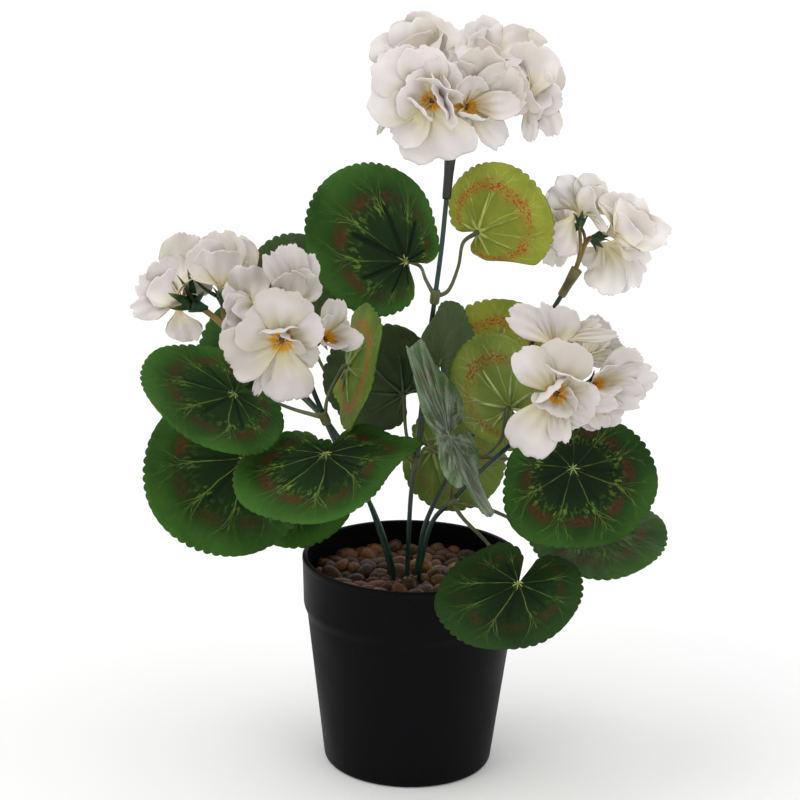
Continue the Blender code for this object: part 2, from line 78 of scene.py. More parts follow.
def smoothRoute(points, steps):
    # Catmull-Rom: 0.5(2b + (c-a)t + (2a-5b+4c-d)t^2 + (3b-a-3c+d)t^3) on each span, with equal steps of t
    p = np.asarray(points, float)
    p = np.vstack([2 * p[0] - p[1], p, 2 * p[-1] - p[-2]])
    a, b, c, d = (part[:, None, :] for part in (p[:-3], p[1:-2], p[2:-1], p[3:]))
    t = (np.arange(steps) / steps)[None, :, None]
    curve = 2 * b + (c - a) * t + (2 * a - 5 * b + 4 * c - d) * t ** 2 + (3 * b - a - 3 * c + d) * t ** 3
    return np.vstack([0.5 * curve.reshape(-1, 3), p[-2:-1]])


def patch(points, slot=0, ball=False, pole=False, flip=False, uv=None, values=None):
    # quads between the rows and columns of a grid. With a pole the first row shrinks to its first point, by
    # triangles; on a ball both end rows do, and the last column joins the first
    rows, columns = points.shape[:2]
    index = np.arange(rows * columns).reshape(rows, columns)
    if ball:
        index = np.concatenate([index, index[:, :1]], 1)
    corners = np.stack([index[:-1, :-1], index[1:, :-1], index[1:, 1:], index[:-1, 1:]], -1)
    faces = []
    if ball or pole:
        corners[0, :, 0] = index[0, 0]
        faces.append(corners[0, :, :3])
        corners = corners[1:]
    if ball:
        corners[-1, :, 1] = index[-1, 0]
        faces.append(corners[-1][:, [0, 1, 3]])
        corners = corners[:-1]
    faces.append(corners.reshape(-1, 4))
    maps = {n: np.broadcast_to(grid, (rows, columns, 2)).reshape(-1, 2) for n, grid in (uv or {}).items()}
    values = {n: np.broadcast_to(grid, (rows, columns)).ravel() for n, grid in (values or {}).items()}
    faces = [f[:, ::-1] if flip else f for f in faces]
    return {"points": points.reshape(-1, 3), "faces": faces, "slot": slot, "uv": maps, "values": values}


def makePiece(name, patches, materials, node, thickness=0.0):
    # joins the patches into one mesh without unused points and puts it in its solid's place; a sheet is the
    # middle surface of its thickness
    faces, slots, offset = [], [], 0
    for p in patches:
        faces += [f + offset for f in p["faces"]]
        slots += [p["slot"]] * sum(map(len, p["faces"]))
        offset += len(p["points"])
    used, packed = np.unique(np.concatenate([f.ravel() for f in faces]), return_inverse=True)
    cuts = np.cumsum([f.size for f in faces])[:-1]
    shaped = [part.reshape(f.shape) for part, f in zip(np.split(packed, cuts), faces)]
    mesh = bpy.data.meshes.new(name)
    points = np.vstack([p["points"] for p in patches])[used]
    mesh.from_pydata(points.tolist(), [], [row for f in shaped for row in f.tolist()])
    mesh.polygons.foreach_set("material_index", slots)
    for n in patches[0]["uv"]:
        corner = np.vstack([p["uv"][n] for p in patches])[used][packed]
        mesh.uv_layers.new(name=n).data.foreach_set("uv", corner.astype(np.float32).ravel())
    for n in dict.fromkeys(n for p in patches for n in p["values"]):
        value = np.concatenate([p["values"].get(n, np.zeros(len(p["points"]))) for p in patches])[used]
        mesh.attributes.new(n, "FLOAT", "POINT").data.foreach_set("value", value.astype(np.float32))
    mesh.shade_smooth()
    mesh.update()
    for material in materials:
        mesh.materials.append(material)
    piece = bpy.data.objects.new(name, mesh)
    bpy.context.scene.collection.objects.link(piece)
    if thickness:
        wall = piece.modifiers.new("cloth thickness", "SOLIDIFY")
        wall.thickness, wall.offset = thickness, 0.0
        wall.material_offset, wall.material_offset_rim = 1, 0
    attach(piece, "root")
    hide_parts(node)


def tubePatch(route, radii, sides, slot=0):
    # closed rings of the given radii, square to the route, from the coordinate axis that it avoids most
    route = np.asarray(route, float)
    tangent = unit(np.gradient(route, axis=0))
    lean = np.eye(3)[np.argmin(np.abs(tangent).max(0))]
    side = unit(lean - tangent * (tangent @ lean)[:, None])
    other = np.cross(tangent, side)
    radii = np.broadcast_to(radii, len(route))[:, None, None]
    rings = route[:, None] + radii * spun(side[:, None], other[:, None], spokes(sides)[None, :, None])
    ends = np.repeat(route[[0, -1], None], sides, 1)
    return patch(np.concatenate([ends[:1], rings, ends[1:]]), slot, ball=True, flip=True)


def turnedPatch(profile, sides, slot=0, centre=(0, 0, 0), axis=(0, 0, 1)):
    # a closed profile of (radius, height) points turned round an axis, with poles where the radius is 0
    axis = np.asarray(axis, float)
    side, other = crossAxes(axis)
    around = spun(side, other, spokes(sides)[None, :, None])
    points = np.asarray(centre, float) + profile[:, 0, None, None] * around + profile[:, 1, None, None] * axis
    return patch(points, slot, ball=True, flip=True)


def rounded(corners):
    # each (radius, height, round) corner becomes a curve (1-t)^2 A + 2t(1-t) C + t^2 B between its sides
    c, cut = corners[:, :2], corners[1:-1, 2:]
    a, b = (c[1:-1] + unit(near - c[1:-1]) * cut for near in (c[:-2], c[2:]))
    t = np.linspace(0, 1, 5)[None, :, None]
    curve = (1 - t) ** 2 * a[:, None] + 2 * t * (1 - t) * c[1:-1, None] + t ** 2 * b[:, None]
    return np.vstack([c[:1], curve.reshape(-1, 2), c[-1:]])


class Wire:
    # the output of a shader node; sums, differences and products of wires are Math nodes
    def __init__(self, finish, socket):
        self.finish, self.socket = finish, socket

    def calc(self, operation, other=None):
        # a Math node on this wire and perhaps another wire or number
        return self.finish.node("Math", {0: self, 1: other}, operation=operation)

    def __add__(self, other):
        return self.calc("ADD", other)

    def __sub__(self, other):
        return self.calc("SUBTRACT", other)

    def __mul__(self, other):
        return self.calc("MULTIPLY", other)

    def ease(self, low, high, start=0.0, end=1.0):
        # from start at low to end at high, by 3t^2 - 2t^3
        terms = dict(enumerate((self, low, high, start, end)))
        return self.finish.node("MapRange", terms, interpolation_type="SMOOTHSTEP")

    def mix(self, low, high):
        # low * (1 - wire) + high * wire, for colors
        return self.finish.node("Mix", {0: self, 6: low, 7: high}, 2, data_type="RGBA")

    def bump(self, distance, strength, below=None):
        # a normal from this wire as a height, on top of the relief below
        terms = {"Strength": strength, "Distance": distance, "Height": self, "Normal": below}
        return self.finish.node("Bump", terms)


class Finish:
    # a material in the making: its node tree, its shader and the wire of its Object coordinates
    def __init__(self, name, specular=0.5, **fixed):
        self.material = bpy.data.materials.new(name)
        self.material.use_nodes = True
        self.tree = self.material.node_tree
        self.shader = self.tree.nodes["Principled BSDF"]
        for socket, value in {"Specular IOR Level": specular, **fixed}.items():
            self.shader.inputs[socket].default_value = value
        self.place = self.node("TexCoord", {}, "Object")

    def feed(self, socket, value):
        # links a wire or sets a value, with alpha 1 for a color; None leaves the socket alone
        if isinstance(value, Wire):
            self.tree.links.new(value.socket, socket)
        elif isinstance(value, tuple) and len(socket.default_value) == 4:
            socket.default_value = (*value, 1.0)
        elif value is not None:
            socket.default_value = value

    def node(self, kind, terms, out=0, **settings):
        # a new node with its settings and inputs, and the wire of one of its outputs
        made = self.tree.nodes.new("ShaderNode" + kind)
        for key, value in settings.items():
            setattr(made, key, value)
        for key, value in terms.items():
            self.feed(made.inputs[key], value)
        return Wire(self, made.outputs[out])

    def noise(self, scale, detail=2.0, roughness=0.5, distortion=0.0, on=None, stretch=None):
        # a noise texture on the Object coordinates or another vector, perhaps stretched
        vector = on or self.place
        if stretch:
            vector = self.node("Mapping", {"Vector": vector, "Scale": stretch})
        terms = {"Scale": scale, "Detail": detail, "Roughness": roughness, "Distortion": distortion}
        return self.node("TexNoise", {"Vector": vector, **terms})

    def uv(self, name):
        # a UV map as a vector, and its two coordinates
        vector = self.node("UVMap", {}, uv_map=name)
        return vector, *(self.node("SeparateXYZ", {0: vector}, k) for k in (0, 1))

    def value(self, name):
        # a number that the mesh keeps at each point
        return self.node("Attribute", {}, "Fac", attribute_name=name)

    def done(self, color, roughness=None, normal=None):
        # feeds the shader and hands over the material
        for socket, value in (("Base Color", color), ("Roughness", roughness), ("Normal", normal)):
            self.feed(self.shader.inputs[socket], value)
        return self.material


def linkObject(name, data, axes, place):
    # a camera or lamp with its own x, y and z axes at a place
    made = bpy.data.objects.new(name, data)
    columns = np.eye(4)
    columns[:3, :3], columns[:3, 3] = np.transpose(axes), place
    made.matrix_world = Matrix(columns.tolist())
    bpy.context.scene.collection.objects.link(made)
    return made


cameraSetup = {
    "place": (0.0, -1.1, 0.5), "clip": (0.05, 50.0),  # metres
    "lens": 104.175, "sensor": 36.0,  # mm
    "down": 15.78, "turn": -0.39, "roll": 1.2,  # degrees
}


def makeCamera(setup):
    # the view axis comes from its turn and its tilt, and the frame is rolled about it
    turn, down, roll = (math.radians(setup[k]) for k in ("turn", "down", "roll"))
    ahead = np.array([math.sin(turn) * math.cos(down), math.cos(turn) * math.cos(down), -math.sin(down)])
    level = np.array([math.cos(turn), -math.sin(turn), 0.0])
    upright = np.cross(level, ahead)
    data = bpy.data.cameras.new("camera")
    data.lens, data.sensor_width = setup["lens"], setup["sensor"]
    data.clip_start, data.clip_end = setup["clip"]
    axes = spun(level, upright, roll), spun(upright, -level, roll), -ahead
    bpy.context.scene.camera = linkObject("camera", data, axes, setup["place"])


makeCamera(cameraSetup)
print("camera placed")

pot = {
    "sides": 96,
    "color": (0.0030, 0.0030, 0.0038), "worn": (0.0085, 0.0082, 0.0100),
    "roughness": (0.42, 0.58), "grain": 0.00004,
    # (radius, height, rounding) in mm: up the outside, over the lip, and down the inside
    "profile": [
        (0, 1.2, 0), (34, 1.2, 0.5), (35.2, 0, 0.5), (42.4, 0, 2.6), (52.15, 78.6, 1.4), (54, 83.2, 1.6),
        (54.75, 105.2, 0.5), (55, 106.2, 0.4), (55, 108.4, 0.8), (52.5, 108.4, 0.8), (52.35, 106, 0.6),
        (52, 83.4, 1.5), (50.1, 78.4, 1.5), (40.4, 2.8, 1.2), (0, 2.4, 0)],
}


def makePotPlastic(look):
    # satin black, faintly mottled, with the fine grain of a moulded skin and duller, paler rubbed patches
    finish = Finish("black moulded plastic", 0.05)
    cloud = finish.noise(22.0, 3.0)
    scuff = finish.noise(160.0, 4.0, 0.65, stretch=(1.0, 1.0, 0.35)).ease(0.6, 0.78)
    color = (scuff * cloud.ease(0.4, 0.7)).mix(look["color"], look["worn"])
    grain = finish.noise(2600.0).bump(look["grain"], 0.6)
    return finish.done(color, cloud.ease(0.25, 0.75, *look["roughness"]), grain)


profile = rounded(np.array(pot["profile"]) * mm)
makePiece("pot_moulding", [turnedPatch(profile, pot["sides"])], [makePotPlastic(pot)], "pot")
print("pot made")

fill = {"color": (0.16, 0.14, 0.11), "pit": (0.05, 0.043, 0.033)}


def finishFill(look):
    # open-cell foam: dark pits in a dusty block
    finish = Finish("weighted foam", Roughness=0.95)
    cells = finish.noise(420.0, 3.0, 0.6)
    foam = finish.done(cells.ease(0.4, 0.6).mix(look["pit"], look["color"]), normal=cells.bump(0.0008, 0.8))
    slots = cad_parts["pot_fill"].data.materials
    slots.clear()
    slots.append(foam)


pebbles = {
    "seed": 4, "count": 118, "spread": 50.3, "top": 97.2, "wall": 51.6,  # mm
    "half": (3.2, 6.6), "long": (1.0, 1.45), "wide": (0.85, 1.05), "flat": (0.62, 0.95),
    "sides": 14, "rings": 8, "lumps": 0.24, "tilt": 0.3, "sunk": 0.62, "uneven": 0.9,
    "dip": 1.5, "dipRadius": 12.0,  # mm: the bed sinks a little round the stems
    "jitter": 1.2, "pushes": 80, "push": 0.25,
    "touch": 0.93,  # share of two stones' half widths at which they touch
    # the slab is painted nearly to the shade colour, standing in for the shade in the gaps between the stones
    "bed": [(0, 86.4), (50.3, 86.4), (51.3, 93.5), (0, 93.5)],  # the slab under them
    "tan": (0.200, 0.100, 0.034), "rust": (0.130, 0.048, 0.016), "maroon": (0.045, 0.018, 0.009),
    "grey": (0.062, 0.038, 0.021), "dark": (0.016, 0.010, 0.006), "shade": (0.006, 0.005, 0.004),
    "roughness": (0.22, 0.4),
}


def makePebbleStone(look):
    # tumbled stones: five browns and greys picked by the stone's own number, cloudy veins, and painted shade
    # in the gaps and down the stones' lower sides
    finish = Finish("tumbled pebble", 0.12)
    kind, color = finish.value("stone"), look["dark"]
    for at, name in ((0.16, "maroon"), (0.40, "rust"), (0.62, "tan"), (0.86, "grey")):
        color = kind.ease(at - 0.03, at + 0.03).mix(color, look[name])
    clouds = finish.noise(260.0, 5.0, 0.62, 0.8)
    color = clouds.ease(0.38, 0.62, 0.0, 0.65).mix(color, look["maroon"])
    color = finish.noise(1500.0, 3.0).ease(0.56, 0.70, 0.0, 0.55).mix(color, look["tan"])
    # painted shade: the kept 'depth' number darkens the colour towards the shade colour
    color = finish.value("depth").mix(color, look["shade"])
    fine = finish.noise(900.0, 4.0, 0.6).bump(0.00025, 0.5)
    return finish.done(color, clouds.ease(0.3, 0.7, *look["roughness"]), fine)


def spreadStones(look, chance):
    # a golden-angle spiral, then each stone is pushed from its neighbours until they only touch
    count = look["count"]
    out = look["spread"] * np.sqrt((np.arange(count) + 0.5) / count)
    turn = np.arange(count) * np.pi * (3 - math.sqrt(5))
    xy = np.stack([out * np.cos(turn), out * np.sin(turn)], -1) + chance.normal(0, look["jitter"], (count, 2))
    half = chance.uniform(*look["half"], count)
    for _ in range(look["pushes"]):
        gap = xy[:, None] - xy[None]
        far = np.linalg.norm(gap, axis=-1) + np.eye(count) * 1e3
        press = np.clip((half[:, None] + half[None]) * look["touch"] - far, 0, None)
        xy = xy + (gap / far[..., None] * press[..., None]).sum(1) * look["push"]
        limit = look["spread"] - half * 0.9
        xy = xy * np.minimum(1, limit / np.maximum(np.linalg.norm(xy, axis=1), 1e-6))[:, None]
    return xy, half


def makePebbles(look):
    # each stone is a ball of unit radius stretched on three axes, times 1 + lumps of three slow cosines, and
    # turned about x, y and z
    chance = np.random.default_rng(look["seed"])
    xy, half = spreadStones(look, chance)
    count = len(half)
    polar, around = np.linspace(0, np.pi, look["rings"] + 2), spokes(look["sides"])
    ball = np.stack([np.outer(np.sin(polar), np.cos(around)), np.outer(np.sin(polar), np.sin(around)),
                     np.outer(np.cos(polar), np.ones_like(around))], -1)
    stretch = np.stack([half * chance.uniform(*look[key], count) for key in ("long", "wide", "flat")], -1)
    waves, phases = unit(chance.normal(size=(count, 3, 3))), chance.uniform(0, 2 * np.pi, (count, 3))
    bumps = np.cos(2.6 * np.einsum("rck,nwk->nrcw", ball, waves) + phases[:, None, None]).mean(-1)
    stones = ball[None] * stretch[:, None, None] * (1 + look["lumps"] * bumps)[..., None]
    turn, tip, roll = chance.uniform(0, 2 * np.pi, count), *chance.normal(0, look["tilt"], (2, count))
    for angle, a, b in ((roll, 1, 2), (tip, 2, 0), (turn, 0, 1)):
        c, s = np.cos(angle)[:, None, None], np.sin(angle)[:, None, None]
        first, second = stones[..., a], stones[..., b]
        stones[..., a], stones[..., b] = first * c - second * s, first * s + second * c
    drop = look["sunk"] * stretch[:, 2] - chance.normal(0, look["uneven"], count)
    drop = drop + look["dip"] * (np.linalg.norm(xy, axis=1) < look["dipRadius"])
    centre = np.column_stack([xy, look["top"] - drop])
    stones = stones + centre[:, None, None]
    out = np.hypot(stones[..., 0], stones[..., 1])
    stones[..., :2] *= np.minimum(1, look["wall"] / np.maximum(out, 1))[..., None]
    slab = turnedPatch(np.array(look["bed"]) * mm, 64)
    # painted shade: the slab under the stones is 0.9 of the way to the shade colour
    slab["values"] = {"stone": np.zeros(len(slab["points"])), "depth": np.full(len(slab["points"]), 0.9)}
    parts = [slab]
    for stone, kind, top in zip(stones, chance.uniform(0, 1, count), centre[:, 2]):
        # painted shade: each stone darkens from half a millimetre below its middle, to 0.85 some 4 mm lower
        low = np.clip((top - 0.5 - stone[..., 2]) / 3.5, 0, 1) * 0.85
        parts.append(patch(stone * mm, ball=True, values={"stone": kind, "depth": low}))
    makePiece("pebble_stones", parts, [makePebbleStone(look)], "pebble_bed")


finishFill(fill)
makePebbles(pebbles)
print("pebbles made")

# mm: foot on the pot's floor plan, then the route above the pebbles; the last point is the socket's foot
stems = {
    "centre": [
        (-2, 1), (-1.2, 0, 137), (0.6, 0, 155), (2.4, -1, 175), (5, -3, 210), (8.5, -5, 243), (11, -5, 267),
        (12.8, -4, 291)],
    "right_back": [
        (3, 4), (6.8, 5, 124), (17, 8, 146), (30, 13, 169), (51, 17, 203), (64, 17, 227), (71, 16, 240)],
    "right_front": [
        (4, -4.5), (9.6, -8, 128), (20, -12, 142), (31, -18, 157), (42, -24, 170), (54, -30, 184),
        (63, -35, 195)],
    "left_front": [
        (-9, -4), (-14, -8, 120), (-22, -13, 141), (-37, -23, 171), (-47, -29, 196), (-51, -31, 207),
        (-55, -33, 217)],
    "left_back": [
        (-11, 3), (-16, 5, 117), (-23, 7, 136), (-36, 10, 163), (-54, 11, 186), (-70, 9, 200), (-80, 8, 209)],
}
wire = {
    "radius": 1.2, "foot": 40.0, "straightTo": 101.5, "inSocket": 9.0,  # mm
    "sides": 14, "steps": 8,
    "color": (0.005, 0.022, 0.014), "light": (0.01, 0.046, 0.028), "roughness": (0.3, 0.45),
}
# the cloth's shade is a brightness for each head that paints light and shade: lower for the front heads,
# higher for right_high
heads = {  # stem, the point (mm) that the stalks spread from, shade of the petals' cloth
    "top": ("centre", (14.5, -3, 317), 0.97),
    "right_high": ("right_back", (78, 14, 254), 1.1),
    "right_low": ("right_front", (70, -41, 209), 0.86),
    "left_front": ("left_front", (-64, -38, 231), 0.8),
    "left_back": ("left_back", (-91, 5, 219), 0.95),
}


def makeWireCoat(look):
    # dark green dip coating: slow drips along the wire, thin and paler in places
    finish = Finish("green wire coating")
    drips = finish.noise(420.0, 3.0, stretch=(1.0, 1.0, 0.18))
    color = drips.ease(0.35, 0.7).mix(look["color"], look["light"])
    return finish.done(color, drips.ease(0.3, 0.7, *look["roughness"]), drips.bump(0.0002, 0.5))


def stemRoute(name):
    # straight up in the fill, through the route's points, and into the socket towards its stalks
    foot, *rest = stems[name]
    spread = next(point for stem, point, _ in heads.values() if stem == name)
    end = np.array(rest[-1], float)
    end = end + unit(spread - end) * wire["inSocket"]
    above = smoothRoute([(*foot, wire["straightTo"]), *rest], wire["steps"])
    return np.vstack([(*foot, wire["foot"]), above, end]) * mm


def pointAtHeight(route, height):
    # the route's point at a height, and its direction there, by straight interpolation
    step = unit(np.gradient(route, axis=0))
    x, y, *along = (np.interp(height, route[:, 2], f) for f in (*route[:, :2].T, *step.T))
    return np.array([x, y, height]), unit(np.array(along))


wireCoat = makeWireCoat(wire)
for name in stems:
    tube = tubePatch(stemRoute(name), wire["radius"] * mm, wire["sides"])
    makePiece(f"stem_{name}_wire", [tube], [wireCoat], f"stem_{name}")
print("stems made")

leafLook = {
    "thickness": 0.45, "tooth": 4.7, "toothSamples": 6, "toothDepth": 1.5, "rings": 18,  # mm and counts
    "groove": 0.45, "grooveWidth": 0.9, "rib": 0.62, "notchRound": 0.38, "notchReach": 0.2,
    "fan": 4.6, "veinGap": 21.0,  # across a leaf the fan runs from -4.6 to 4.6
    "ribs": (-3.7, -2.35, -1.1, 0.25, 1.6, 2.9, 4.0),  # on the fan
    "deep": (0.0036, 0.0112, 0.0028), "green": (0.0150, 0.0500, 0.0066), "edge": (0.043, 0.128, 0.0165),
    "vein": (0.115, 0.195, 0.035), "veinStart": 0.0, "veinFade": (0.60, 0.84, 0.30),
    "blotch": (0.088, 0.0260, 0.0115), "blotches": 0.9, "ringGap": 0.4,
    "fleck": (0.15, 0.23, 0.030), "flecks": 0.8,
    # painted shade in the pressed grooves: its colour, how strongly it darkens and over what spread of the
    # rib value
    "grooveShadeColor": (0.003, 0.010, 0.003), "grooveShadeShare": 0.6, "grooveShadeSpread": (0.2, 0.9),
    "sheenShare": 0.0, "roughness": (0.46, 0.62),
    "back": (0.290, 0.350, 0.050), "backDeep": (0.185, 0.240, 0.032), "backVein": (0.40, 0.46, 0.12),
    "mark": (0.50, 0.060, 0.020), "marks": 0.9,
}
upperFinishes = {  # what each finish changes in the leaf's look
    "printed": {},
    "soft": {"deep": (0.0075, 0.02, 0.0055), "green": (0.022, 0.062, 0.011)},
    "grooved": {"deep": (0.0055, 0.015, 0.004), "green": (0.0185, 0.056, 0.0078), "veinStart": 0.3,
        "grooveShadeShare": 0.95, "grooveShadeSpread": (0.06, 0.5)},
    # the next three paint a streaky grey sheen on the leaf: a painted reflection of the light at a grazing
    # angle
    "frosted": {"sheenTint": (0.24, 0.285, 0.215), "sheenShare": 1.0, "streak": 0.12},
    "hazy": {"sheenTint": (0.07, 0.105, 0.044), "sheenShare": 0.95, "streak": 0.7},
    "washed": {"sheenTint": (0.085, 0.14, 0.05), "sheenShare": 0.6, "streak": 0.15},
    "dull": {"green": (0.0105, 0.033, 0.0052), "edge": (0.022, 0.056, 0.01), "blotches": 0.5, "flecks": 0.2},
    "ringed": {"green": (0.0085, 0.03, 0.004), "edge": (0.028, 0.086, 0.0105), "vein": (0.08, 0.145, 0.024),
        "veinFade": (0.7, 1.0, 0.75), "blotch": (0.07, 0.02, 0.0085), "blotches": 1.0, "ringGap": 0.85},
}
underFinishes = {
    "pale": {},
    "lime": {"back": (0.38, 0.41, 0.052), "backDeep": (0.23, 0.275, 0.032), "backVein": (0.54, 0.58, 0.16),
        "marks": 1.0},
    "moss": {"back": (0.245, 0.31, 0.058), "backDeep": (0.155, 0.205, 0.036), "backVein": (0.5, 0.57, 0.26),
        "mark": (0.3, 0.06, 0.018), "marks": 1.0},
    "sage": {"back": (0.165, 0.24, 0.028), "backDeep": (0.085, 0.14, 0.016), "backVein": (0.26, 0.33, 0.1)},
    "green": {"back": (0.135, 0.2, 0.032), "backDeep": (0.08, 0.13, 0.02), "backVein": (0.22, 0.3, 0.08),
        "mark": (0.2, 0.06, 0.012), "marks": 0.7},
    # painted shade: a darker copy of the light olive underside, for a leaf that lies in shadow
    "shaded": {"back": (0.05, 0.08, 0.028), "backDeep": (0.026, 0.044, 0.014), "backVein": (0.07, 0.1, 0.04),
        "marks": 0.0},
}
# Leaves, in mm and degrees: where the stalk meets one, where its face looks (azimuth, elevation), the clock
# angle of its midrib, its radius, how far its circle lies past the stalk (in radii), notch, cup, wave, lobes
# (angle, growth, width), bends (angle, distance in radii, turn, roll radius in radii), the points that its
# stalk passes and the finishes of its two sides. What a leaf doesn't say is as here:
plainLeaf = {
    "clock": 0, "notch": 14, "cup": 0.08, "wave": 1.0, "lobes": (), "bends": (), "via": (),
    "sides": ("printed", "pale"),
}
leaves = {
    "upper_left": dict(at=(-6, 13, 256), face=(-34, 5), clock=296, radius=38.5, offset=0.52, notch=30,
        cup=0.1, sides=("grooved", "pale")),
    "upper_right": dict(at=(29, 9, 273), face=(150, 11), clock=-57, radius=28.5, offset=0.5, notch=24,
        cup=0.05, bends=[(128, 0.42, 150, 0.1)], sides=("printed", "lime"),
        via=[(15, -3, 246), (19.5, 1, 257), (21.5, 4, 268)]),
    "left_high": dict(at=(-87, -27, 198), face=(44, 56), clock=262, radius=37, offset=0.45, notch=12,
        sides=("soft", "pale"), via=[(-58, -18, 188), (-74, -14, 192)]),
    "left_low": dict(at=(-83, -2, 158), face=(0, 26), clock=228, radius=43, offset=0.25, notch=12, cup=0.1,
        via=[(-40, -1, 152), (-62, 5, 155)]),
    "front_left": dict(at=(-42, -46, 175), face=(-24, 66), clock=162, radius=41.5, offset=0.42, notch=25,
        cup=0.1, lobes=[(86, 0.27, 12), (54, -0.15, 20)]),
    "under_left": dict(at=(-57, 26, 143), face=(-16, 28), clock=178, radius=31, offset=0.32, notch=12,
        cup=0.06, via=[(-27, 24, 141), (-44, 36, 139)]),
    "folded_left": dict(at=(-32, -18, 210), face=(105, -14), clock=-80, radius=32.5, offset=0.2, notch=16,
        cup=0.03, lobes=[(170, -0.2, 25), (-170, -0.2, 25), (112, -0.28, 34)], via=[(-42, -21, 197)],
        sides=("printed", "sage")),
    "centre_back": dict(at=(-6, 8, 190), face=(186, 6), clock=55, radius=28.5, offset=0.5, notch=42, cup=0.06,
        via=[(-4, -1, 172)], sides=("printed", "shaded")),
    "centre_front": dict(at=(16.2, -56, 188.6), face=(81, 26), clock=280, radius=45, offset=0.08, notch=5,
        cup=0.04, wave=1.4, lobes=[(-110, 0.12, 14), (-55, 0.2, 12), (0, -0.42, 36), (60, -0.38, 20),
        (114, 0.06, 9), (140, -0.14, 14), (180, 0.35, 12), (-180, 0.35, 12)], sides=("frosted", "frosted")),
    "centre_high": dict(at=(12, 3.5, 208), face=(57, 0), radius=25.4, offset=0.22, lobes=[(-110, -0.2, 28)],
        wave=1.5, via=[(4, 4, 172), (5.5, 5, 195)], sides=("hazy", "green")),
    "pale_right": dict(at=(46.5, -15, 191), face=(146, 7), clock=54, radius=30.3, offset=0.31,
        sides=("printed", "moss"), via=[(32, -4, 161), (42, -16.5, 174)]),
    "pale_back": dict(at=(41, 32, 200), face=(176, 12), radius=29, offset=0.23, sides=("printed", "lime")),
    "pale_low": dict(at=(9, 22, 157), face=(190, -14), clock=252, radius=28, offset=0.45,
        sides=("printed", "green")),
    "right_front": dict(at=(76, -45, 170), face=(-8, 44), clock=152, radius=36.5, offset=0.26, notch=0.04,
        cup=0.1, lobes=[(-62, 0.1, 25), (180, 0.42, 11), (-180, 0.42, 11)], sides=("ringed", "pale"),
        via=[(36, 2, 160), (52, -12, 163), (66, -30, 165)]),
    "right_low": dict(at=(86, -22, 135), face=(2, 68), clock=164, radius=34.5, offset=0.34,
        sides=("washed", "pale"), via=[(36, -15, 139), (55, -18, 132), (74, -20, 126)]),
    "front_low": dict(at=(51, -66, 119), face=(-24, 60), clock=182, radius=35.5, offset=0.3, notch=12,
        cup=0.1, sides=("dull", "pale"),
        via=[(25, -17, 134), (35, -27, 127), (46, -40, 118), (50, -54, 113)]),
    "back_high": dict(at=(-61.5, 54, 233), face=(-8, -6), radius=24.5, offset=0.2,
        via=[(-36, 32, 172), (-54, 54, 204)], sides=("hazy", "pale")),
    "back_left": dict(at=(-76, 26, 196), face=(-30, 12), clock=-60, radius=31, offset=0.3,
        via=[(-38, 24, 162), (-62, 33, 184)]),
}
for name, leaf in leaves.items():
    leaf = leaves[name] = {**plainLeaf, **leaf}
    leaf["last"] = math.pi - math.radians(leaf["notch"])  # the margin runs from -last to last
    leaf["teeth"] = round(2 * math.pi * leaf["radius"] / leafLook["tooth"])
sprays = {  # stem, height of the collar (mm), leaves
    "upper": ("centre", 243, "upper_left upper_right"),
    "centre": ("centre", 157, "centre_back front_left pale_low centre_high"),
    "right_back": ("right_back", 156, "right_front pale_right pale_back"),
    "right_front": ("right_front", 141, "centre_front front_low right_low"),
    "left_front": ("left_front", 187, "left_high folded_left"),
    "left_back": ("left_back", 140, "left_low under_left back_left back_high"),
}


def leafAxes(leaf):
    # the midrib's direction turns clockwise from straight up, seen from the upper face
    normal = direction(*leaf["face"])
    up = unit(np.array([0, 0, 1.0]) - normal * normal[2])
    midrib = spun(up, np.cross(up, normal), math.radians(leaf["clock"]))
    return normal, midrib, np.cross(normal, midrib)


def leafCircle(leaf, angle):
    # distance from the stalk to a circle past it, and the angle about the circle's own centre
    radius, offset = leaf["radius"], leaf["offset"] * leaf["radius"]
    plain = offset * np.cos(angle) + np.sqrt(radius ** 2 - (offset * np.sin(angle)) ** 2)
    return plain, np.arctan2(plain * np.sin(angle), plain * np.cos(angle) - offset)


def leafMargin(leaf, angle):
    # distance from the stalk to the margin: the circle, rounded off at the notch by 1 - round * exp(-gap /
    # reach), times 1 + growth * exp(-(away / width)^2) at each lobe, less teeth of 1 - |sin|^0.8
    plain, about = leafCircle(leaf, angle)
    tooth = np.abs(np.sin(0.5 * leaf["teeth"] * about)) ** 0.8 - 1
    gap = leaf["last"] - np.abs(angle)
    plain = plain * (1 - leafLook["notchRound"] * np.exp(-gap / leafLook["notchReach"]))
    for middle, grow, width in leaf["lobes"]:
        plain = plain * (1 + grow * np.exp(-((angle - math.radians(middle)) / math.radians(width)) ** 2))
    return plain + leafLook["toothDepth"] * (0.55 + 0.45 * np.sin(5.3 * about + leaf["radius"])) * tooth


def leafFan(leaf, angle):
    # the angle as a share of the leaf's turn, from -fan to fan
    return angle / leaf["last"] * leafLook["fan"]


def ribDepth(leaf, share, angle):
    # 1 on the pressed lines over the ribs, and 0 a groove's width away from them
    gap = np.min(np.abs(leafFan(leaf, angle)[..., None] - np.array(leafLook["ribs"])), -1)
    away = gap * share * leafLook["veinGap"] / leafLook["grooveWidth"]
    end = leafLook["rib"]
    return np.exp(-away ** 2) * ease(share, 0.02, 0.1) * (1 - ease(share, end - 0.12, end))


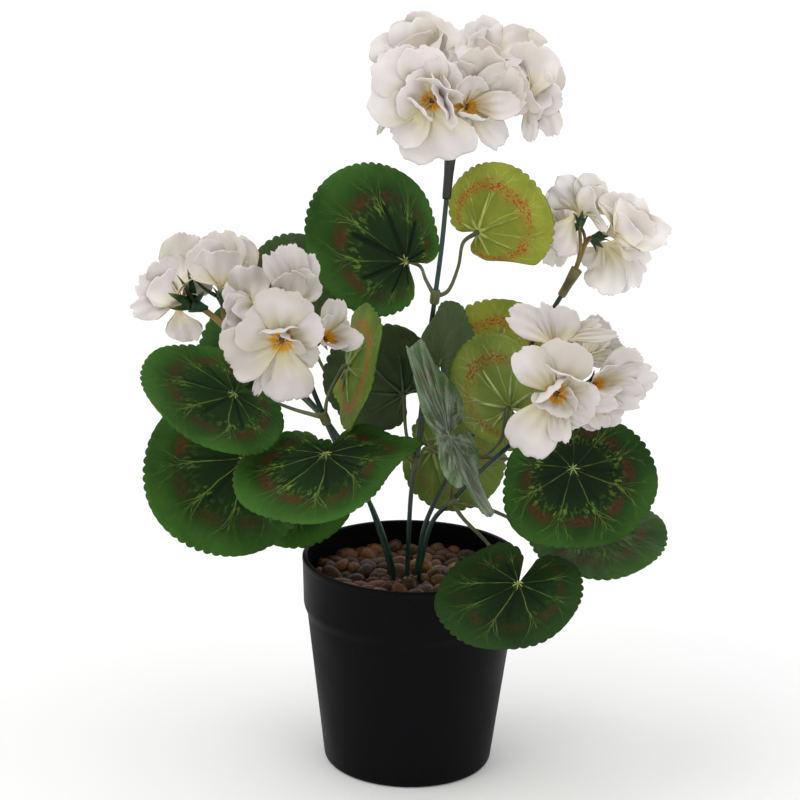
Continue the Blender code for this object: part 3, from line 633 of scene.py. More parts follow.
def rollBend(points, line, radius):
    # past a line of the leaf's plane the sheet rolls by turn = past / roll radius, then runs on straight
    angle, distance, bend, roll = line
    across = np.array([math.cos(math.radians(angle)), math.sin(math.radians(angle))])
    past = points[..., :2] @ across - distance * radius
    size = roll * radius
    turn = np.clip(past / size, 0, math.radians(abs(bend)))
    straight = np.maximum(past, 0) - turn * size
    moved = size * np.sin(turn) + straight * np.cos(turn) - points[..., 2] * np.sin(turn)
    lifted = math.copysign(1, bend) * (size * (1 - np.cos(turn)) + straight * np.sin(turn))
    rolled = points.copy()
    rolled[..., :2] += np.where(past > 0, moved - past, 0)[..., None] * across
    rolled[..., 2] = np.where(past > 0, lifted + points[..., 2] * np.cos(turn), points[..., 2])
    return rolled


def leafPoints(leaf, share, angle):
    # height of the sheet: cup * out^2 / radius, slow waves that grow to the margin, less the pressed grooves
    out = share * leafMargin(leaf, angle)
    phase = leaf["radius"] * 1.7 + leaf["clock"] * 0.1
    wave = share ** 2 * np.sin(3 * angle + phase) + 0.7 * share ** 3 * np.sin(7 * angle + 2 * phase)
    wave = wave + 0.5 * share * (1 - share) * np.cos(2 * math.pi * leafFan(leaf, angle))
    z = leaf["cup"] * out ** 2 / leaf["radius"] + leaf["wave"] * wave
    z = z - leafLook["groove"] * ribDepth(leaf, share, angle)
    points = flat = np.stack([out * np.cos(angle), out * np.sin(angle), z], -1)
    for line in leaf["bends"]:
        points = rollBend(points, line, leaf["radius"])
    normal, midrib, sideways = leafAxes(leaf)
    return (np.array(leaf["at"]) + points @ np.array([midrib, sideways, normal])) * mm, flat[..., :2]


def leafPatch(leaf):
    # rows run from the stalk to the margin, closer near it; columns turn round in equal steps of the teeth
    fine = np.linspace(-leaf["last"], leaf["last"], 2001)
    about = np.unwrap(leafCircle(leaf, fine)[1])
    step = 2 * math.pi / leaf["teeth"] / leafLook["toothSamples"]
    inside = np.arange(math.ceil(about[0] / step), math.floor(about[-1] / step) + 1) * step
    angle = np.interp(np.concatenate([about[:1], inside, about[-1:]]), about, fine)
    share, angle = np.meshgrid(np.linspace(0, 1, leafLook["rings"] + 1) ** 0.85, angle, indexing="ij")
    points, flat = leafPoints(leaf, share, angle)
    maps = {"print": np.stack([leafFan(leaf, angle), share], -1), "cloth": flat / 10.0}
    return patch(points, pole=True, uv=maps, values={"rib": ribDepth(leaf, share, angle)})


def veinFold(fan):
    # 0 on a main vein, where the fan is a whole number, and 0.5 midway between two
    return ((fan + 100.5).calc("FRACT") - 0.5).calc("ABSOLUTE")


# where on the fold each set of veins ends, the shares between which it leaves the main vein, the shares where
# it shows and is gone, and its width in mm
veinForks = [
    (0.0, 0.0, 1.0, 0.0, 0.90, 0.28), (0.27, 0.46, 0.90, 0.46, 0.94, 0.22),
    (0.12, 0.64, 0.97, 0.64, 0.98, 0.17), (0.43, 0.58, 1.0, 0.60, 0.98, 0.17),
    (0.20, 0.78, 1.0, 0.78, 1.0, 0.14),
]


def veinLines(fan, share, strength, gap):
    # main veins where the fan is a whole number, which fork twice on their way out; a line shows where its
    # distance on the cloth, fan distance * share * gap, is small
    fold, reach, total = veinFold(fan), share * gap, None
    for away, start, end, shown, gone, width in veinForks:
        middle = share.ease(start, end, 0.0, away) if away else 0.0
        mask = ((fold - middle).calc("ABSOLUTE") * reach).ease(0.25 * width, width, 1.0, 0.0)
        if shown:
            mask = mask * share.ease(shown, shown + 0.05)
        mask = mask * share.ease(gone - 0.12, gone, 1.0, 0.0)
        total = total.calc("MAXIMUM", mask) if total else mask
    return total * strength


def leafNodes(finish):
    # the print's own coordinates, made to wander by noises that differ from leaf to leaf, and the weave of
    # the cloth, sin(x) * sin(y) at 0.35 mm
    _, fan, share = finish.uv("print")
    _, x, y = finish.uv("cloth")
    drift, quick = finish.noise(26.0) - 0.5, finish.noise(260.0) - 0.5
    return fan + (drift * 0.6 + quick * 0.07), share, (x * 180.0).calc("SINE") * (y * 180.0).calc("SINE")


def ringBand(share, wander, middle, width):
    # 1 at the ring's middle and 0 a width away
    return (share + wander - middle).calc("ABSOLUTE").ease(0.25 * width, width, 1.0, 0.0)


def fanNoise(fan, share, scale, detail=2.0, stretch=0.5):
    # noise drawn out from the stalk to the margin
    vector = fan.finish.node("CombineXYZ", {0: fan * scale, 1: share * (scale * stretch * 6.0)})
    return fan.finish.noise(1.0, detail, 0.6, on=vector)


def makeLeafTop(name, look):
    # printed cloth: dark middle, fresh margin, forked pale veins, a ring of rusty blotches between the veins,
    # yellow-green flecks inside it, painted shade along the pressed grooves, and on some a streaky grey
    # painted sheen
    finish = Finish(name, 0.10)
    fan, share, weave = leafNodes(finish)
    cloud, tuft, fold = finish.noise(34.0, 3.0), fanNoise(fan, share, 5.0), veinFold(fan)
    fresh = cloud.ease(0.3, 0.7, 0.3, 1.0) * share.ease(0.1, 0.75, 0.15, 1.0)
    rim = share.ease(0.62, 1.0) * cloud.ease(0.25, 0.65, 0.35, 1.0)
    color = rim.mix(fresh.mix(look["deep"], look["green"]), look["edge"])
    wander = (tuft - 0.5) * 0.14
    around = finish.noise(42.0, 1.0).ease(0.36, 0.56, look["ringGap"], 1.0)
    rust = ringBand(share, wander, 0.67, 0.10) * around * fold.ease(0.08, 0.36, 0.2, 1.0)
    rust = rust * fanNoise(fan, share, 13.0, 3.0, 0.25).ease(0.38, 0.58, 0.1, 1.0) * look["blotches"]
    color = rust.mix(color, look["blotch"])
    flecks = fanNoise(fan, share, 10.0, 2.0, 0.2).ease(0.50, 0.62) * ringBand(share, wander, 0.55, 0.13)
    flecks = flecks * fold.ease(0.12, 0.36, 1.0, 0.25) * around * look["flecks"]
    color = flecks.mix(color, look["fleck"])
    breaks = fanNoise(fan, share, 2.2, 2.0, 0.3).ease(0.32, 0.62, 0.18, 0.95)
    if look["veinStart"]:
        breaks = breaks * share.ease(look["veinStart"], look["veinStart"] + 0.25, 0.25, 1.0)
    low, high, left = look["veinFade"]
    veins = veinLines(fan, share, breaks * share.ease(low, high, 1.0, left), look["veinGap"])
    color = veins.mix(color, look["vein"])
    # painted shade: the pressed grooves over the ribs darken towards the groove shade colour
    rib = finish.value("rib").ease(*look["grooveShadeSpread"]) * look["grooveShadeShare"]
    color = rib.mix(color, look["grooveShadeColor"])
    if look["sheenShare"]:
        # painted sheen: grey streaks drawn out from the stalk stand in for the light's reflection at a
        # grazing angle
        paintedSheen = fanNoise(fan, share, 3.6, 4.0, 0.12).ease(0.3, 0.62, look["sheenShare"], look["streak"])
        color = paintedSheen.mix(color, look["sheenTint"])
    creases = fanNoise(fan, share, 3.0, 3.0, 0.25).bump(0.0012, 0.35)
    normal = (weave * 0.25 + veins).bump(0.00012, 0.7, creases)
    return finish.done(color, cloud.ease(0.3, 0.7, *look["roughness"]), normal)


def makeLeafBack(name, look):
    # the cloth's other side: light olive, the veins pressed pale and the ring showing through in red marks
    finish = Finish(name, 0.16)
    fan, share, weave = leafNodes(finish)
    cloud = finish.noise(60.0, 4.0)
    breaks = fanNoise(fan, share, 2.2, 2.0, 0.3).ease(0.3, 0.6, 0.2, 0.65)
    veins = veinLines(fan, share, breaks, look["veinGap"])
    color = veins.mix(cloud.ease(0.3, 0.7).mix(look["backDeep"], look["back"]), look["backVein"])
    wander = (fanNoise(fan, share, 5.0) - 0.5) * 0.34
    around = finish.noise(48.0, 1.0).ease(0.34, 0.50, 0.5, 1.0)
    marks = fanNoise(fan, share, 8.0, 3.0, 0.8).ease(0.46, 0.56) * around
    marks = marks * ringBand(share, wander, 0.67, 0.12) * look["marks"]
    color = marks.mix(color, look["mark"])
    normal = (weave * 0.3 + veins * -1.0).bump(0.00012, 0.7)
    return finish.done(color, cloud.ease(0.3, 0.7, 0.55, 0.7), normal)


def makeStalkPlastic(name, dark, light):
    # moulded stalk: the colour drifts along it and fine flow lines catch the light
    finish = Finish(name, 0.45)
    drift = finish.noise(90.0, 3.0)
    fine = finish.noise(1100.0, stretch=(1.0, 1.0, 0.3)).bump(0.00012, 0.6)
    return finish.done(drift.ease(0.35, 0.65).mix(dark, light), drift.ease(0.3, 0.7, 0.38, 0.55), fine)


leafCloths, ribPlastics = {}, {}  # by finish
for name, changes in upperFinishes.items():
    leafCloths[name] = makeLeafTop("leaf cloth " + name, {**leafLook, **changes})
for name, changes in underFinishes.items():
    look = {**leafLook, **changes}
    leafCloths[name] = makeLeafBack("leaf cloth " + name, look)
    ribPlastics[name] = makeStalkPlastic("leaf rib " + name, look["backDeep"], look["backVein"])
# the ribs under the heavy-sheen leaf take the painted sheen's grey as their colour
sheenGrey = upperFinishes["frosted"]["sheenTint"]
ribPlastics["frosted"] = makeStalkPlastic("leaf rib frosted", sheenGrey, sheenGrey)
petiolePlastic = makeStalkPlastic("olive stalk plastic", (0.055, 0.065, 0.016), (0.115, 0.125, 0.035))

for name, leaf in leaves.items():
    cloths = [leafCloths[side] for side in leaf["sides"]]
    node = f"leaf_{name}"
    makePiece(node + "_cloth", [leafPatch(leaf)], cloths, node, leafLook["thickness"] * mm)
print("leaves made")

stalks = {  # mm and counts
    "radius": 0.95, "sides": 10, "steps": 7, "collar": 2.35, "collarHalf": 3.6, "collarSides": 20,
    "below": 0.7, "into": 0.3, "lead": 2.5, "arch": 0.1,  # the arch is a share of the stalk's span
    "ribRadius": 0.95, "ribSides": 8, "ribPoints": 14, "ribReach": 0.92, "ribTaper": 0.75, "ribSunk": 0.55,
}


def stalkRoute(leaf, start):
    # as a moulded stalk runs: out of its collar, through its points, and square to the leaf at its end
    normal, midrib, _ = leafAxes(leaf)
    end = np.array(leaf["at"]) * mm - normal * stalks["below"] * mm
    span = np.linalg.norm(end - start)
    rise = start + 0.33 * (end - start) + np.array([0, 0, stalks["arch"] * span])
    middle = [np.array(p) * mm for p in leaf["via"]] or [rise, end - (normal + midrib) * 0.2 * span]
    route = smoothRoute([start, *middle, end - normal * stalks["lead"] * mm], stalks["steps"])
    return np.vstack([route, end + normal * stalks["into"] * mm])


def ribPatches(leaf, slot):
    # half-buried bars under the pressed grooves, which thin out to a point
    made = []
    t = np.linspace(0, 1, stalks["ribPoints"])
    share = leafLook["rib"] * stalks["ribReach"] * t
    for fan in leafLook["ribs"]:
        angle = np.full(len(t), fan / leafLook["fan"] * leaf["last"])
        points, _ = leafPoints(leaf, share, angle)
        ahead, _ = leafPoints(leaf, share, angle + 0.02)
        normal = unit(np.cross(np.gradient(points, axis=0), ahead - points))
        normal[0] = normal[1]
        radii = stalks["ribRadius"] * mm * (1 - stalks["ribTaper"] * t ** 1.5)
        middle = points - normal * (0.15 * mm + radii[:, None] * stalks["ribSunk"])
        made.append(tubePatch(middle, radii, stalks["ribSides"], slot))
    return made


def collarPatch(centre, along, size, half):
    # a short sleeve with rounded ends
    ring = np.array([(0, -1), (0.82, -1), (1, -0.8), (1.04, 0), (1, 0.8), (0.82, 1), (0, 1)])
    return turnedPatch(ring * (size, half) * mm, stalks["collarSides"], 0, centre, along)


for name, (stem, height, held) in sprays.items():
    centre, along = pointAtHeight(stemRoute(stem), height * mm)
    parts, plastics = [collarPatch(centre, along, stalks["collar"], stalks["collarHalf"])], [petiolePlastic]
    for leaf in map(leaves.get, held.split()):
        route = stalkRoute(leaf, centre)
        t = np.linspace(0, 1, len(route))
        swell = 1.3 - 0.4 * np.sin(np.pi * t) + 0.5 * np.exp(-((1 - t) / 0.02) ** 2)
        parts.append(tubePatch(route, stalks["radius"] * mm * swell, stalks["sides"]))
        parts += ribPatches(leaf, len(plastics))
        plastics.append(ribPlastics[leaf["sides"][1]])
    makePiece(f"leaf_spray_{name}_stalks", parts, plastics, f"leaf_spray_{name}")
print("leaf stalks made")

# Florets, in mm and degrees. One meets its calyx at a point and opens towards its face (azimuth, elevation);
# its petals leave the axis at the start angle. A petal is its tip from that point, half width, end angle from
# the axis, cup, and perhaps twist and shoulder. Without any, a floret gets two whorls of its radius and
# depth. Its calyx is stout times the usual size, with five sepals of the sepal's length and those in sepals:
# tip, half width, twist.
florets = {
    "top": [
        dict(at=(5, -23, 341), face=(-12, 8), start=50, petals=[
            (-30, -5, 4, 16, 100, -0.1), (5, -4, -28, 19, 105, -0.12, 0, 0.75), (-16, -3, -20, 10.5, 95, 0.5),
            (-24, -5, 21, 15, 95, 0.1), (-7, -10, 27, 13, 80, 0.3), (3, -19, 11, 13, 15, 0.15, 25),
            (9, -17, 2, 14, 25, 0.2, 15), (1.5, -15, 4, 12, -30, 0.15, 0, 0.7), (-15, -9, 7, 13.5, 75, 0.3),
            (-5.5, -14, -1, 8, -50, 0.2, 0, 0.9), (6, -13, 21, 11, 45, 0.3, 10)]),
        dict(at=(20, -19, 338), face=(38, 2), start=40, petals=[
            (18, 2, -19, 8, 110, 0.3, 20, 0.35), (25, -12, 5, 7.5, 80, 0.35, -10, 0.6),
            (27, -6, 11, 11, 75, 0.3, -15), (23, -8, 19, 12, 70, 0.3, -20), (10, -10, 29, 13, 60, 0.3, -30),
            (-4, -14, 23, 10, 50, 0.3, -30), (4, -15, 16, 9, 40, 0.5, -35),
            (8, -11, -2.5, 11, -40, 0.2, 0, 0.8), (3, -4, -9, 11, 100, 0.1), (-12, -6, 0, 9, 80, 0.2)]),
        dict(at=(43, 0, 339), face=(95, 5), petals=[
            (11, -6, 28, 14, 70, 0.1, 65), (21, -12, 9, 13, 60, 0.1, 20, 0.35),
            (9, -4, -20, 5.2, 95, 0.4, -75, 0.3), (20, -8, -16, 7, 95, 0.2, -70, 0.45),
            (15, -12, -4, 10, 70, 0.1, -40), (17, 10, 18, 13, 70, 0.2, -70), (7, -16, 10, 14, 60, 0.1, 30),
            (6, -10, -4, 7, 90, 0.1, -55)]),
        dict(at=(3, 0, 355), face=(-50, 50), petals=[
            (-26, -8, 0, 14, 95, 0.1, -35, 0.45), (-10, -2, 21, 13, 80, 0.1, 15), (5, 2, 22, 16, 70, 0.1, 45),
            (-18, -18, -3, 13, 100, 0.1, -25), (0, -22, 7, 13, 95, 0.1), (-8, -14, 14, 11, 50, 0.3, -5),
            (9, -14, 11, 12, 60, 0.3, 40), (5, 20, 14, 14, 70, 0.2), (-21, 0, 9, 13, 80, 0.1, -40)]),
        dict(at=(30, 8, 353), face=(40, 62), petals=[
            (-7, 2, 22, 12, 60, 0.2, -45), (10, 2, 16, 14, 75, 0.1, 20), (28, -4, 6, 14, 90, 0.1, 40),
            (7, -20, -4, 13, 130, -0.4), (-12, -22, 5, 12, 100, 0.2, -15), (-8, -10, 14, 12, 50, 0.3, -50),
            (6, -12, 9, 12, 70, 0.3, -25), (7, 24, 10, 13, 80, 0.2), (20, -8, 11, 12, 80, 0.1, 50)]),
        dict(at=(23, 24, 344), face=(180, 15), radius=22, depth=14),
        dict(at=(-6, 6, 339), face=(-95, -2), radius=22, depth=14),
    ],
    "right_high": [
        dict(at=(79, 14, 279), face=(170, 55), sepal=4.6, petals=[
            (-15, 2, 16, 10.5, 80, 0.1, 55), (-14, -5, -14, 9.5, 110, 0.1, 60, 0.5),
            (0, 2, 17, 14, 50, 0.1, 10), (13, 2, 16, 14, 60, 0.1, -50), (12, -10, -4, 3, 140, 0.6, -85, 0.3),
            (-2, 22, 5, 13, 80, 0.2, -45), (8, -6, 7, 13, 95, 0.2, -55)]),
        dict(at=(90, 13, 272), face=(75, 18), sepal=4.6, petals=[
            (11, 0, 21, 14, 65, 0.1, -80), (19, -4, 13, 14, 40, 0.1, -85), (32, -6, 0, 11, 40, 0.1, 65, 0.25),
            (23, -2, -7, 11, 55, 0.1, 65), (9, -10, 11, 15, 55, 0.2, 55), (19, 10, 3, 11, 65, 0.3)]),
        dict(at=(88, 22, 266), face=(120, -30), sepal=4.6, petals=[
            (2, -12, -23, 11.5, 105, -0.1, -45), (17, -8, -22, 11.5, 70, -0.1, -30),
            (26, 0, -12, 11, 45, 0.1, 10), (9, 20, -23, 11, 50, 0.1, 60), (-6, 0, -12, 9, 105, 0.1, -55)]),
        dict(at=(76, 24, 273), face=(-140, -10), radius=20, depth=13),
    ],
    "right_low": [
        dict(at=(65, -70, 214), face=(-5, 4), start=55, petals=[
            (-18, -6, 22, 9.5, 90, 0.25, 10, 0.6), (5, -8, 27, 14, 80, 0.1),
            (-16, -4, -28, 12.5, 100, -0.05, 0, 0.7), (3, -8, -22, 5.5, 100, 0.3, 0, 0.7),
            (19, -5, -6, 11, 90, 0.15, 0, 0.6), (12, -5, -14, 8, 95, 0.1), (29, -2, -5, 6, 85, 0.3, -5, 0.3),
            (-2.5, -12.5, 2.5, 9.5, -65, 0.2, 0, 0.7), (4, -14, 12, 12, -15, 0.15, 0, 0.6),
            (-4, -10, -7, 10.5, 70, 0.5, 0, 0.8), (9, -9, -2, 8, 50, 0.5, 20, 0.6)]),
        dict(at=(65, -50, 229), face=(-10, 62), petals=[
            (-23, -8, 20, 8, 60, 0.1, -50, 0.6), (-8, -4, 24, 5.5, 30, 0.4, -25, 0.3),
            (1, -4, 23, 11, 30, 0.1, 15, 0.6), (21, -2, 15, 4.6, 70, 0.5, 45, 0.3),
            (29, -6, 10, 3.8, 85, 0.3, 50, 0.35), (10, 2, 15, 8, 70, 0.2, 35)]),
        dict(at=(83, -46, 212), face=(42, 12), start=30, petals=[
            (21, -4, 18, 9.5, 60, 0.3, -20, 0.45), (30, -2, 6, 9, 75, 0.3, 0, 0.4),
            (24, -6, -6, 9, 70, 0.4, 15, 0.45), (8, -10, 12, 7, 20, 0.3, 0, 0.5),
            (12, -12, -1, 6.5, 20, 0.4, 10, 0.5)]),
        dict(at=(82, -52, 205), face=(40, -35), start=25, petals=[
            (16, -2, -6, 7, 55, 0.3, -40), (5, -8, -11, 7, 30, 0.4, 35), (13, 0, 0, 6, 75, 0.3, -55, 0.3),
            (-3, -6, -11, 7, 70, 0.2, 55), (11, 6, -6, 8, 75, 0.3, -25)]),
        dict(at=(80, -28, 219), face=(140, 25), radius=17, depth=14),
    ],
    "left_front": [
        dict(at=(-62, -64, 235), face=(-5, 4), start=60, petals=[
            (-26, -4, -9, 13.5, 100, 0.05, -8, 0.85), (-19, -5, 10, 12, 95, 0.15, 20, 0.7),
            (2, -8, 26, 15, 80, 0.1), (17, -8, 14, 12, 80, 0.2, -15), (17, -3, -9, 7, 95, 0.3, 0, 0.5),
            (4, -2, -29, 12.5, 108, -0.1, 0, 0.75), (-13, 2, -28, 3.6, 110, 0.8, 0, 0.3),
            (-2, -11, 6, 10, -35, 0.2, 0, 0.6), (8, -12, 2, 8, 35, 0.5, 50, 0.6)]),
        dict(at=(-58, -44, 245), face=(5, 66), petals=[
            (-12, -6, 28, 6.5, 35, 0.2, -50, 0.6), (-3, 4, 30, 9, 40, 0.2, -10, 0.6),
            (6, 6, 26, 9, 50, 0.1, 15), (11, -4, 17, 9, 50, 0.2, 50), (-4, -12, 19, 9, 35, 0.2, 65)]),
        dict(at=(-44, -50, 232), face=(50, 6), start=45, petals=[
            (7, -4, 21, 6.8, 70, 0.3, -45, 0.5), (19, -8, 4, 7.5, 70, 0.25, -20, 0.1),
            (7, -10, -2, 7.5, 70, 0.2, 50), (0, -14, 14, 7, 60, 0.3, -30), (12, 10, 6, 8, 60, 0.3, -25)]),
        dict(at=(-74, -40, 241), face=(-75, 25), petals=[
            (-4, -6, 25, 11, 70, 0.05, 85), (-15, -10, 0, 12, 45, 0.05, 75), (-10, 8, 15, 11, 70, 0.1, 55),
            (-15, -4, -11, 7, 80, 0.2, -75), (-4, -14, -1, 11, 80, 0.1, 90)]),
    ],
    "left_back": [
        dict(at=(-112, 3, 235), face=(-76, 20), sepal=4, stout=1.8, sepals=[(-1, -10, 18.5, 2.4, 80),
            (-6, -12, 16.5, 2.0, 75), (-10, -14, 8.5, 3.2, 15), (-9, -13, 1.5, 2.8, 0), (7, -8, 8, 2.2, 70),
            (-3, -11, 12, 2.8, 60)], petals=[
            (-25, -2, 12, 10, 20, 0.1, 45, 0.3), (-11, -2, 24, 12.5, 55, 0.1, 85),
            (1, 0, 35, 12.5, 85, 0.1, 80), (-27, -9, -3, 7.5, 35, 0.1, -85, 0.35),
            (-2, -3, -19, 10, 95, 0.1, -80, 0.5), (7, 4, 15, 8.5, 85, 0.1, 80), (-18, 14, 13, 9, 60, 0.2, 35),
            (-12, -4, 16, 14, 40, 0.2, -85)]),
        dict(at=(-96, 4, 240), face=(-12, 72), sepal=5, stout=1.3, sepals=[(-12, -10, 12, 1.5, 60),
            (6, -9, 15, 1.5, -60), (-1, -6, 5, 2.2, 0)], petals=[
            (-2, -10, 24, 13, 15, 0.3, 15), (-13, -6, 25, 12, 40, 0.2, -60), (0, 8, 30, 13, 45, 0.1, 10),
            (-8, 4, 28, 13, 40, 0.1, -15), (7, -4, 19, 9, 45, 0.2, 60)]),
        dict(at=(-86, 20, 240), face=(120, 42), petals=[
            (-4, -2, 25, 9.5, 55, 0.05, 55, 0.6), (-6, -8, 12, 9, 85, 0.05, 55),
            (-6, 14, 22, 8, 70, 0.2, -70), (-4, 12, 3, 7, 90, 0.1, -35)]),
    ],
}
petalLook = {
    "seed": 21, "rows": 20, "columns": 25, "fray": 0.018, "thickness": 0.32, "throat": 0.9, "start": 12.0,
    "claw": 0.2, "shoulder": 0.55, "ruffle": 0.085, "gather": 0.5, "waves": (0.9, 1.5), "nick": 0.07,
    "lip": 2.4, "scallop": 0.025, "whitest": 0.93,
    "white": (0.80, 0.75, 0.715), "blush": (0.73, 0.67, 0.665), "creamAndShade": (0.75, 0.67, 0.39),
    "beige": (0.64, 0.58, 0.50), "orange": (0.76, 0.36, 0.012), "core": (0.16, 0.05, 0.006),
    "gold": (4.8, 7.6), "eye": (1.2, 2.6), "ragged": 8.0,  # mm from the throat
}
# painted light: the outside colours are lighter than the inside ones, to brighten the petals' backs, which
# the lamps light less
litPetalBack = {  # what differs outside the flower
    "white": (0.86, 0.81, 0.780), "blush": (0.80, 0.74, 0.740), "beige": (0.76, 0.70, 0.640),
}
plainWhorls = ((5, 1.0, 85), (3, 0.6, 50))  # how many petals, their size and their end angle


def petalPatch(base, axis, petal, start, chance):
    # the middle line is a cubic curve in the plane of the axis and the tip, from the start angle to the end
    # angle. A point lies v half widths beside it, on an arc that is tight at the throat and cup / half width
    # at the lip, plus ripples that grow to the lip; the twist turns the cross line about the middle
    *tip, half, end, cup, twist, shoulder = (*petal, *(0.0, petalLook["shoulder"])[len(petal) - 6:])
    tip = np.array(tip, float)
    high = tip @ axis
    radial = unit(tip - axis * high)
    side = np.cross(axis, radial)
    first, last = np.array([petalLook["throat"], 0.0]), np.array([tip @ radial, high])
    handle = 0.4 * np.linalg.norm(last - first)
    near, far = (handle * np.array([math.sin(a), math.cos(a)]) for a in np.radians([start, end]))
    t = np.linspace(0, 1, 60)[:, None]
    line = (1 - t) ** 3 * first + 3 * (1 - t) ** 2 * t * (first + near)
    line = line + 3 * (1 - t) * t ** 2 * (last - far) + t ** 3 * last
    slope = np.gradient(line, axis=0)
    run = np.concatenate([[0], np.cumsum(np.linalg.norm(np.diff(line, axis=0), axis=1))])
    u = np.linspace(0, 1, petalLook["rows"])[:, None]
    v = np.linspace(-1, 1, petalLook["columns"])[None]
    # the lip: a round end with a nick, a slow wave and a frayed edge, as a share of the petal's length
    reach = shoulder + (1 - shoulder) * np.sqrt(np.clip(1 - np.abs(v) ** petalLook["lip"], 0, 1))
    waves, phase = chance.uniform(*petalLook["waves"]), chance.uniform(0, 2 * np.pi, 3)
    nick = chance.uniform(0, petalLook["nick"]) * np.exp(-((v - 0.2 * math.sin(phase[2])) / 0.16) ** 2)
    reach = reach * (1 - nick)
    reach = reach * (1 + petalLook["scallop"] * np.sin(3 * np.pi * v + phase[2]) * (1 - v ** 2))
    reach = reach * (1 + petalLook["fray"] * chance.normal(0, 1, v.shape) * np.sqrt(1 - v ** 2))
    d = u * reach
    out, up, bend = (np.interp(d, run / run[-1], f) for f in (*line.T, np.arctan2(slope[:, 0], slope[:, 1])))
    y = v * half * (petalLook["claw"] + (1 - petalLook["claw"]) * ease(d, -0.05, 0.66))
    arc = (1 - ease(d, 0.05, 0.45)) / np.maximum(out, 1.5) + ease(d, 0.05, 0.45) * cup / half
    arc = np.where(np.abs(arc) < 1e-4, 1e-4, arc)
    beside, forward = np.sin(arc * y) / arc, (1 - np.cos(arc * y)) / arc
    ripple = np.sin(waves * v * np.pi + phase[0]) * ease(d, 0.3, 1.0)
    ripple = ripple + 0.5 * np.sin(2.3 * waves * v * np.pi + phase[1]) * ease(d, 0.55, 1.0)
    pleat = np.cos(3.4 * np.pi * v + phase[1]) * ease(d, 0.1, 0.35) * (1 - ease(d, 0.5, 0.9))
    forward = forward + petalLook["ruffle"] * half * ripple + petalLook["gather"] * pleat
    inward = spun(-radial, axis, bend[..., None])
    turn = math.radians(twist) * ease(d, 0.1, 0.8)[..., None]
    across, inward = spun(side, inward, turn), spun(inward, -side, turn)
    points = base / mm + radial * out[..., None] + axis * up[..., None]
    points = (points + across * beside[..., None] + inward * forward[..., None]) * mm
    maps = {"petal": np.stack([v * 0.5 + 0.5 + 0 * d, d], -1)}
    return patch(points, uv=maps, flip=True, values={"throat": np.linalg.norm(points - base, axis=-1) / mm})


def plainPetals(floret, axis, chance):
    # five wide petals at equal turns round the axis and three small ones inside, each a little off its place
    made = []
    for count, size, end in plainWhorls:
        for turn in spokes(count):
            radial, radius = spun(*crossAxes(axis), turn + chance.normal(0, 0.12)), size * floret["radius"]
            tip = (radial * radius + axis * floret["depth"] * size * (2 - size)) * chance.uniform(0.92, 1.04)
            made.append((*tip, 0.52 * radius, end + chance.normal(0, 8), chance.uniform(0, 0.4)))
    return made


def makeFloret(head, index, floret, materials):
    # the floret's petals joined into one thin sheet, each floret with random numbers of its own
    chance = np.random.default_rng(petalLook["seed"] + 97 * index + sum(map(ord, head)))
    base, axis = np.array(floret["at"]) * mm, direction(*floret["face"])
    petals = floret.get("petals") or plainPetals(floret, axis, chance)
    parts = [petalPatch(base, axis, petal, floret["start"], chance) for petal in petals]
    node = f"floret_{head}_{index}"
    makePiece(node + "_petals", parts, materials, node, petalLook["thickness"] * mm)


def makePetalCloth(name, look, shade, inside=True):
    # warm white cloth with cream towards the throat, partly dye and partly painted shade of the depths, times
    # the head's shade (a brightness that paints light and shade) up to a whitest value. Inside the flower an
    # orange patch spreads from the throat, with a ragged edge, round a dark eye
    kinds = [look[kind] for kind in ("white", "blush", "creamAndShade", "beige")]
    white, blush, creamAndShade, beige = (tuple(min(look["whitest"], shade * c) for c in kind) for kind in kinds)
    finish = Finish(name, 0.2, **{"Sheen Weight": 0.08, "Subsurface Weight": 0.15, "Subsurface Scale": 0.002,
                                  "Subsurface Radius": (1.0, 0.93, 0.82)})
    cloth, _, along = finish.uv("petal")
    cloud = finish.noise(75.0, 3.0)
    color = cloud.ease(0.3, 0.7).mix(white, blush)
    color = finish.noise(32.0).ease(0.46, 0.62, 0.0, 0.7).mix(color, beige)
    streak = finish.noise(1.0, 3.0, 0.6, on=cloth, stretch=(9.0, 1.2, 1.0)) - 0.5
    # cream towards the throat: partly the cloth's own dye and partly painted shade of the flower's depths
    color = (along + streak * 0.5).ease(0.1, 0.75, 0.95, 0.0).mix(color, creamAndShade)
    if inside:
        throat = finish.value("throat")
        color = (throat + streak * look["ragged"]).ease(*look["gold"], 1.0, 0.0).mix(color, look["orange"])
        color = throat.ease(*look["eye"], 0.9, 0.0).mix(color, look["core"])
    lines = finish.noise(1.0, 3.0, 0.6, on=cloth, stretch=(26.0, 1.0, 1.0)).bump(0.0006, 0.25)
    weave = finish.noise(2400.0, 1.0).bump(0.00005, 0.5, lines)
    return finish.done(color, cloud.ease(0.3, 0.7, 0.55, 0.72), weave)


plainFloret = {"start": petalLook["start"], "stout": 1.0, "sepal": 5.6, "sepals": ()}
for head, group in florets.items():
    # painted light and shade: each head's petal cloths are a darker or lighter copy of the same colours
    shade = heads[head][2]
    cloths = [makePetalCloth(f"petal cloth outside {head}", {**petalLook, **litPetalBack}, shade, False),
              makePetalCloth(f"petal cloth inside {head}", petalLook, shade)]
    group[:] = [{**plainFloret, **floret} for floret in group]
    for index, floret in enumerate(group, 1):
        makeFloret(head, index, floret, cloths)
print("florets made")

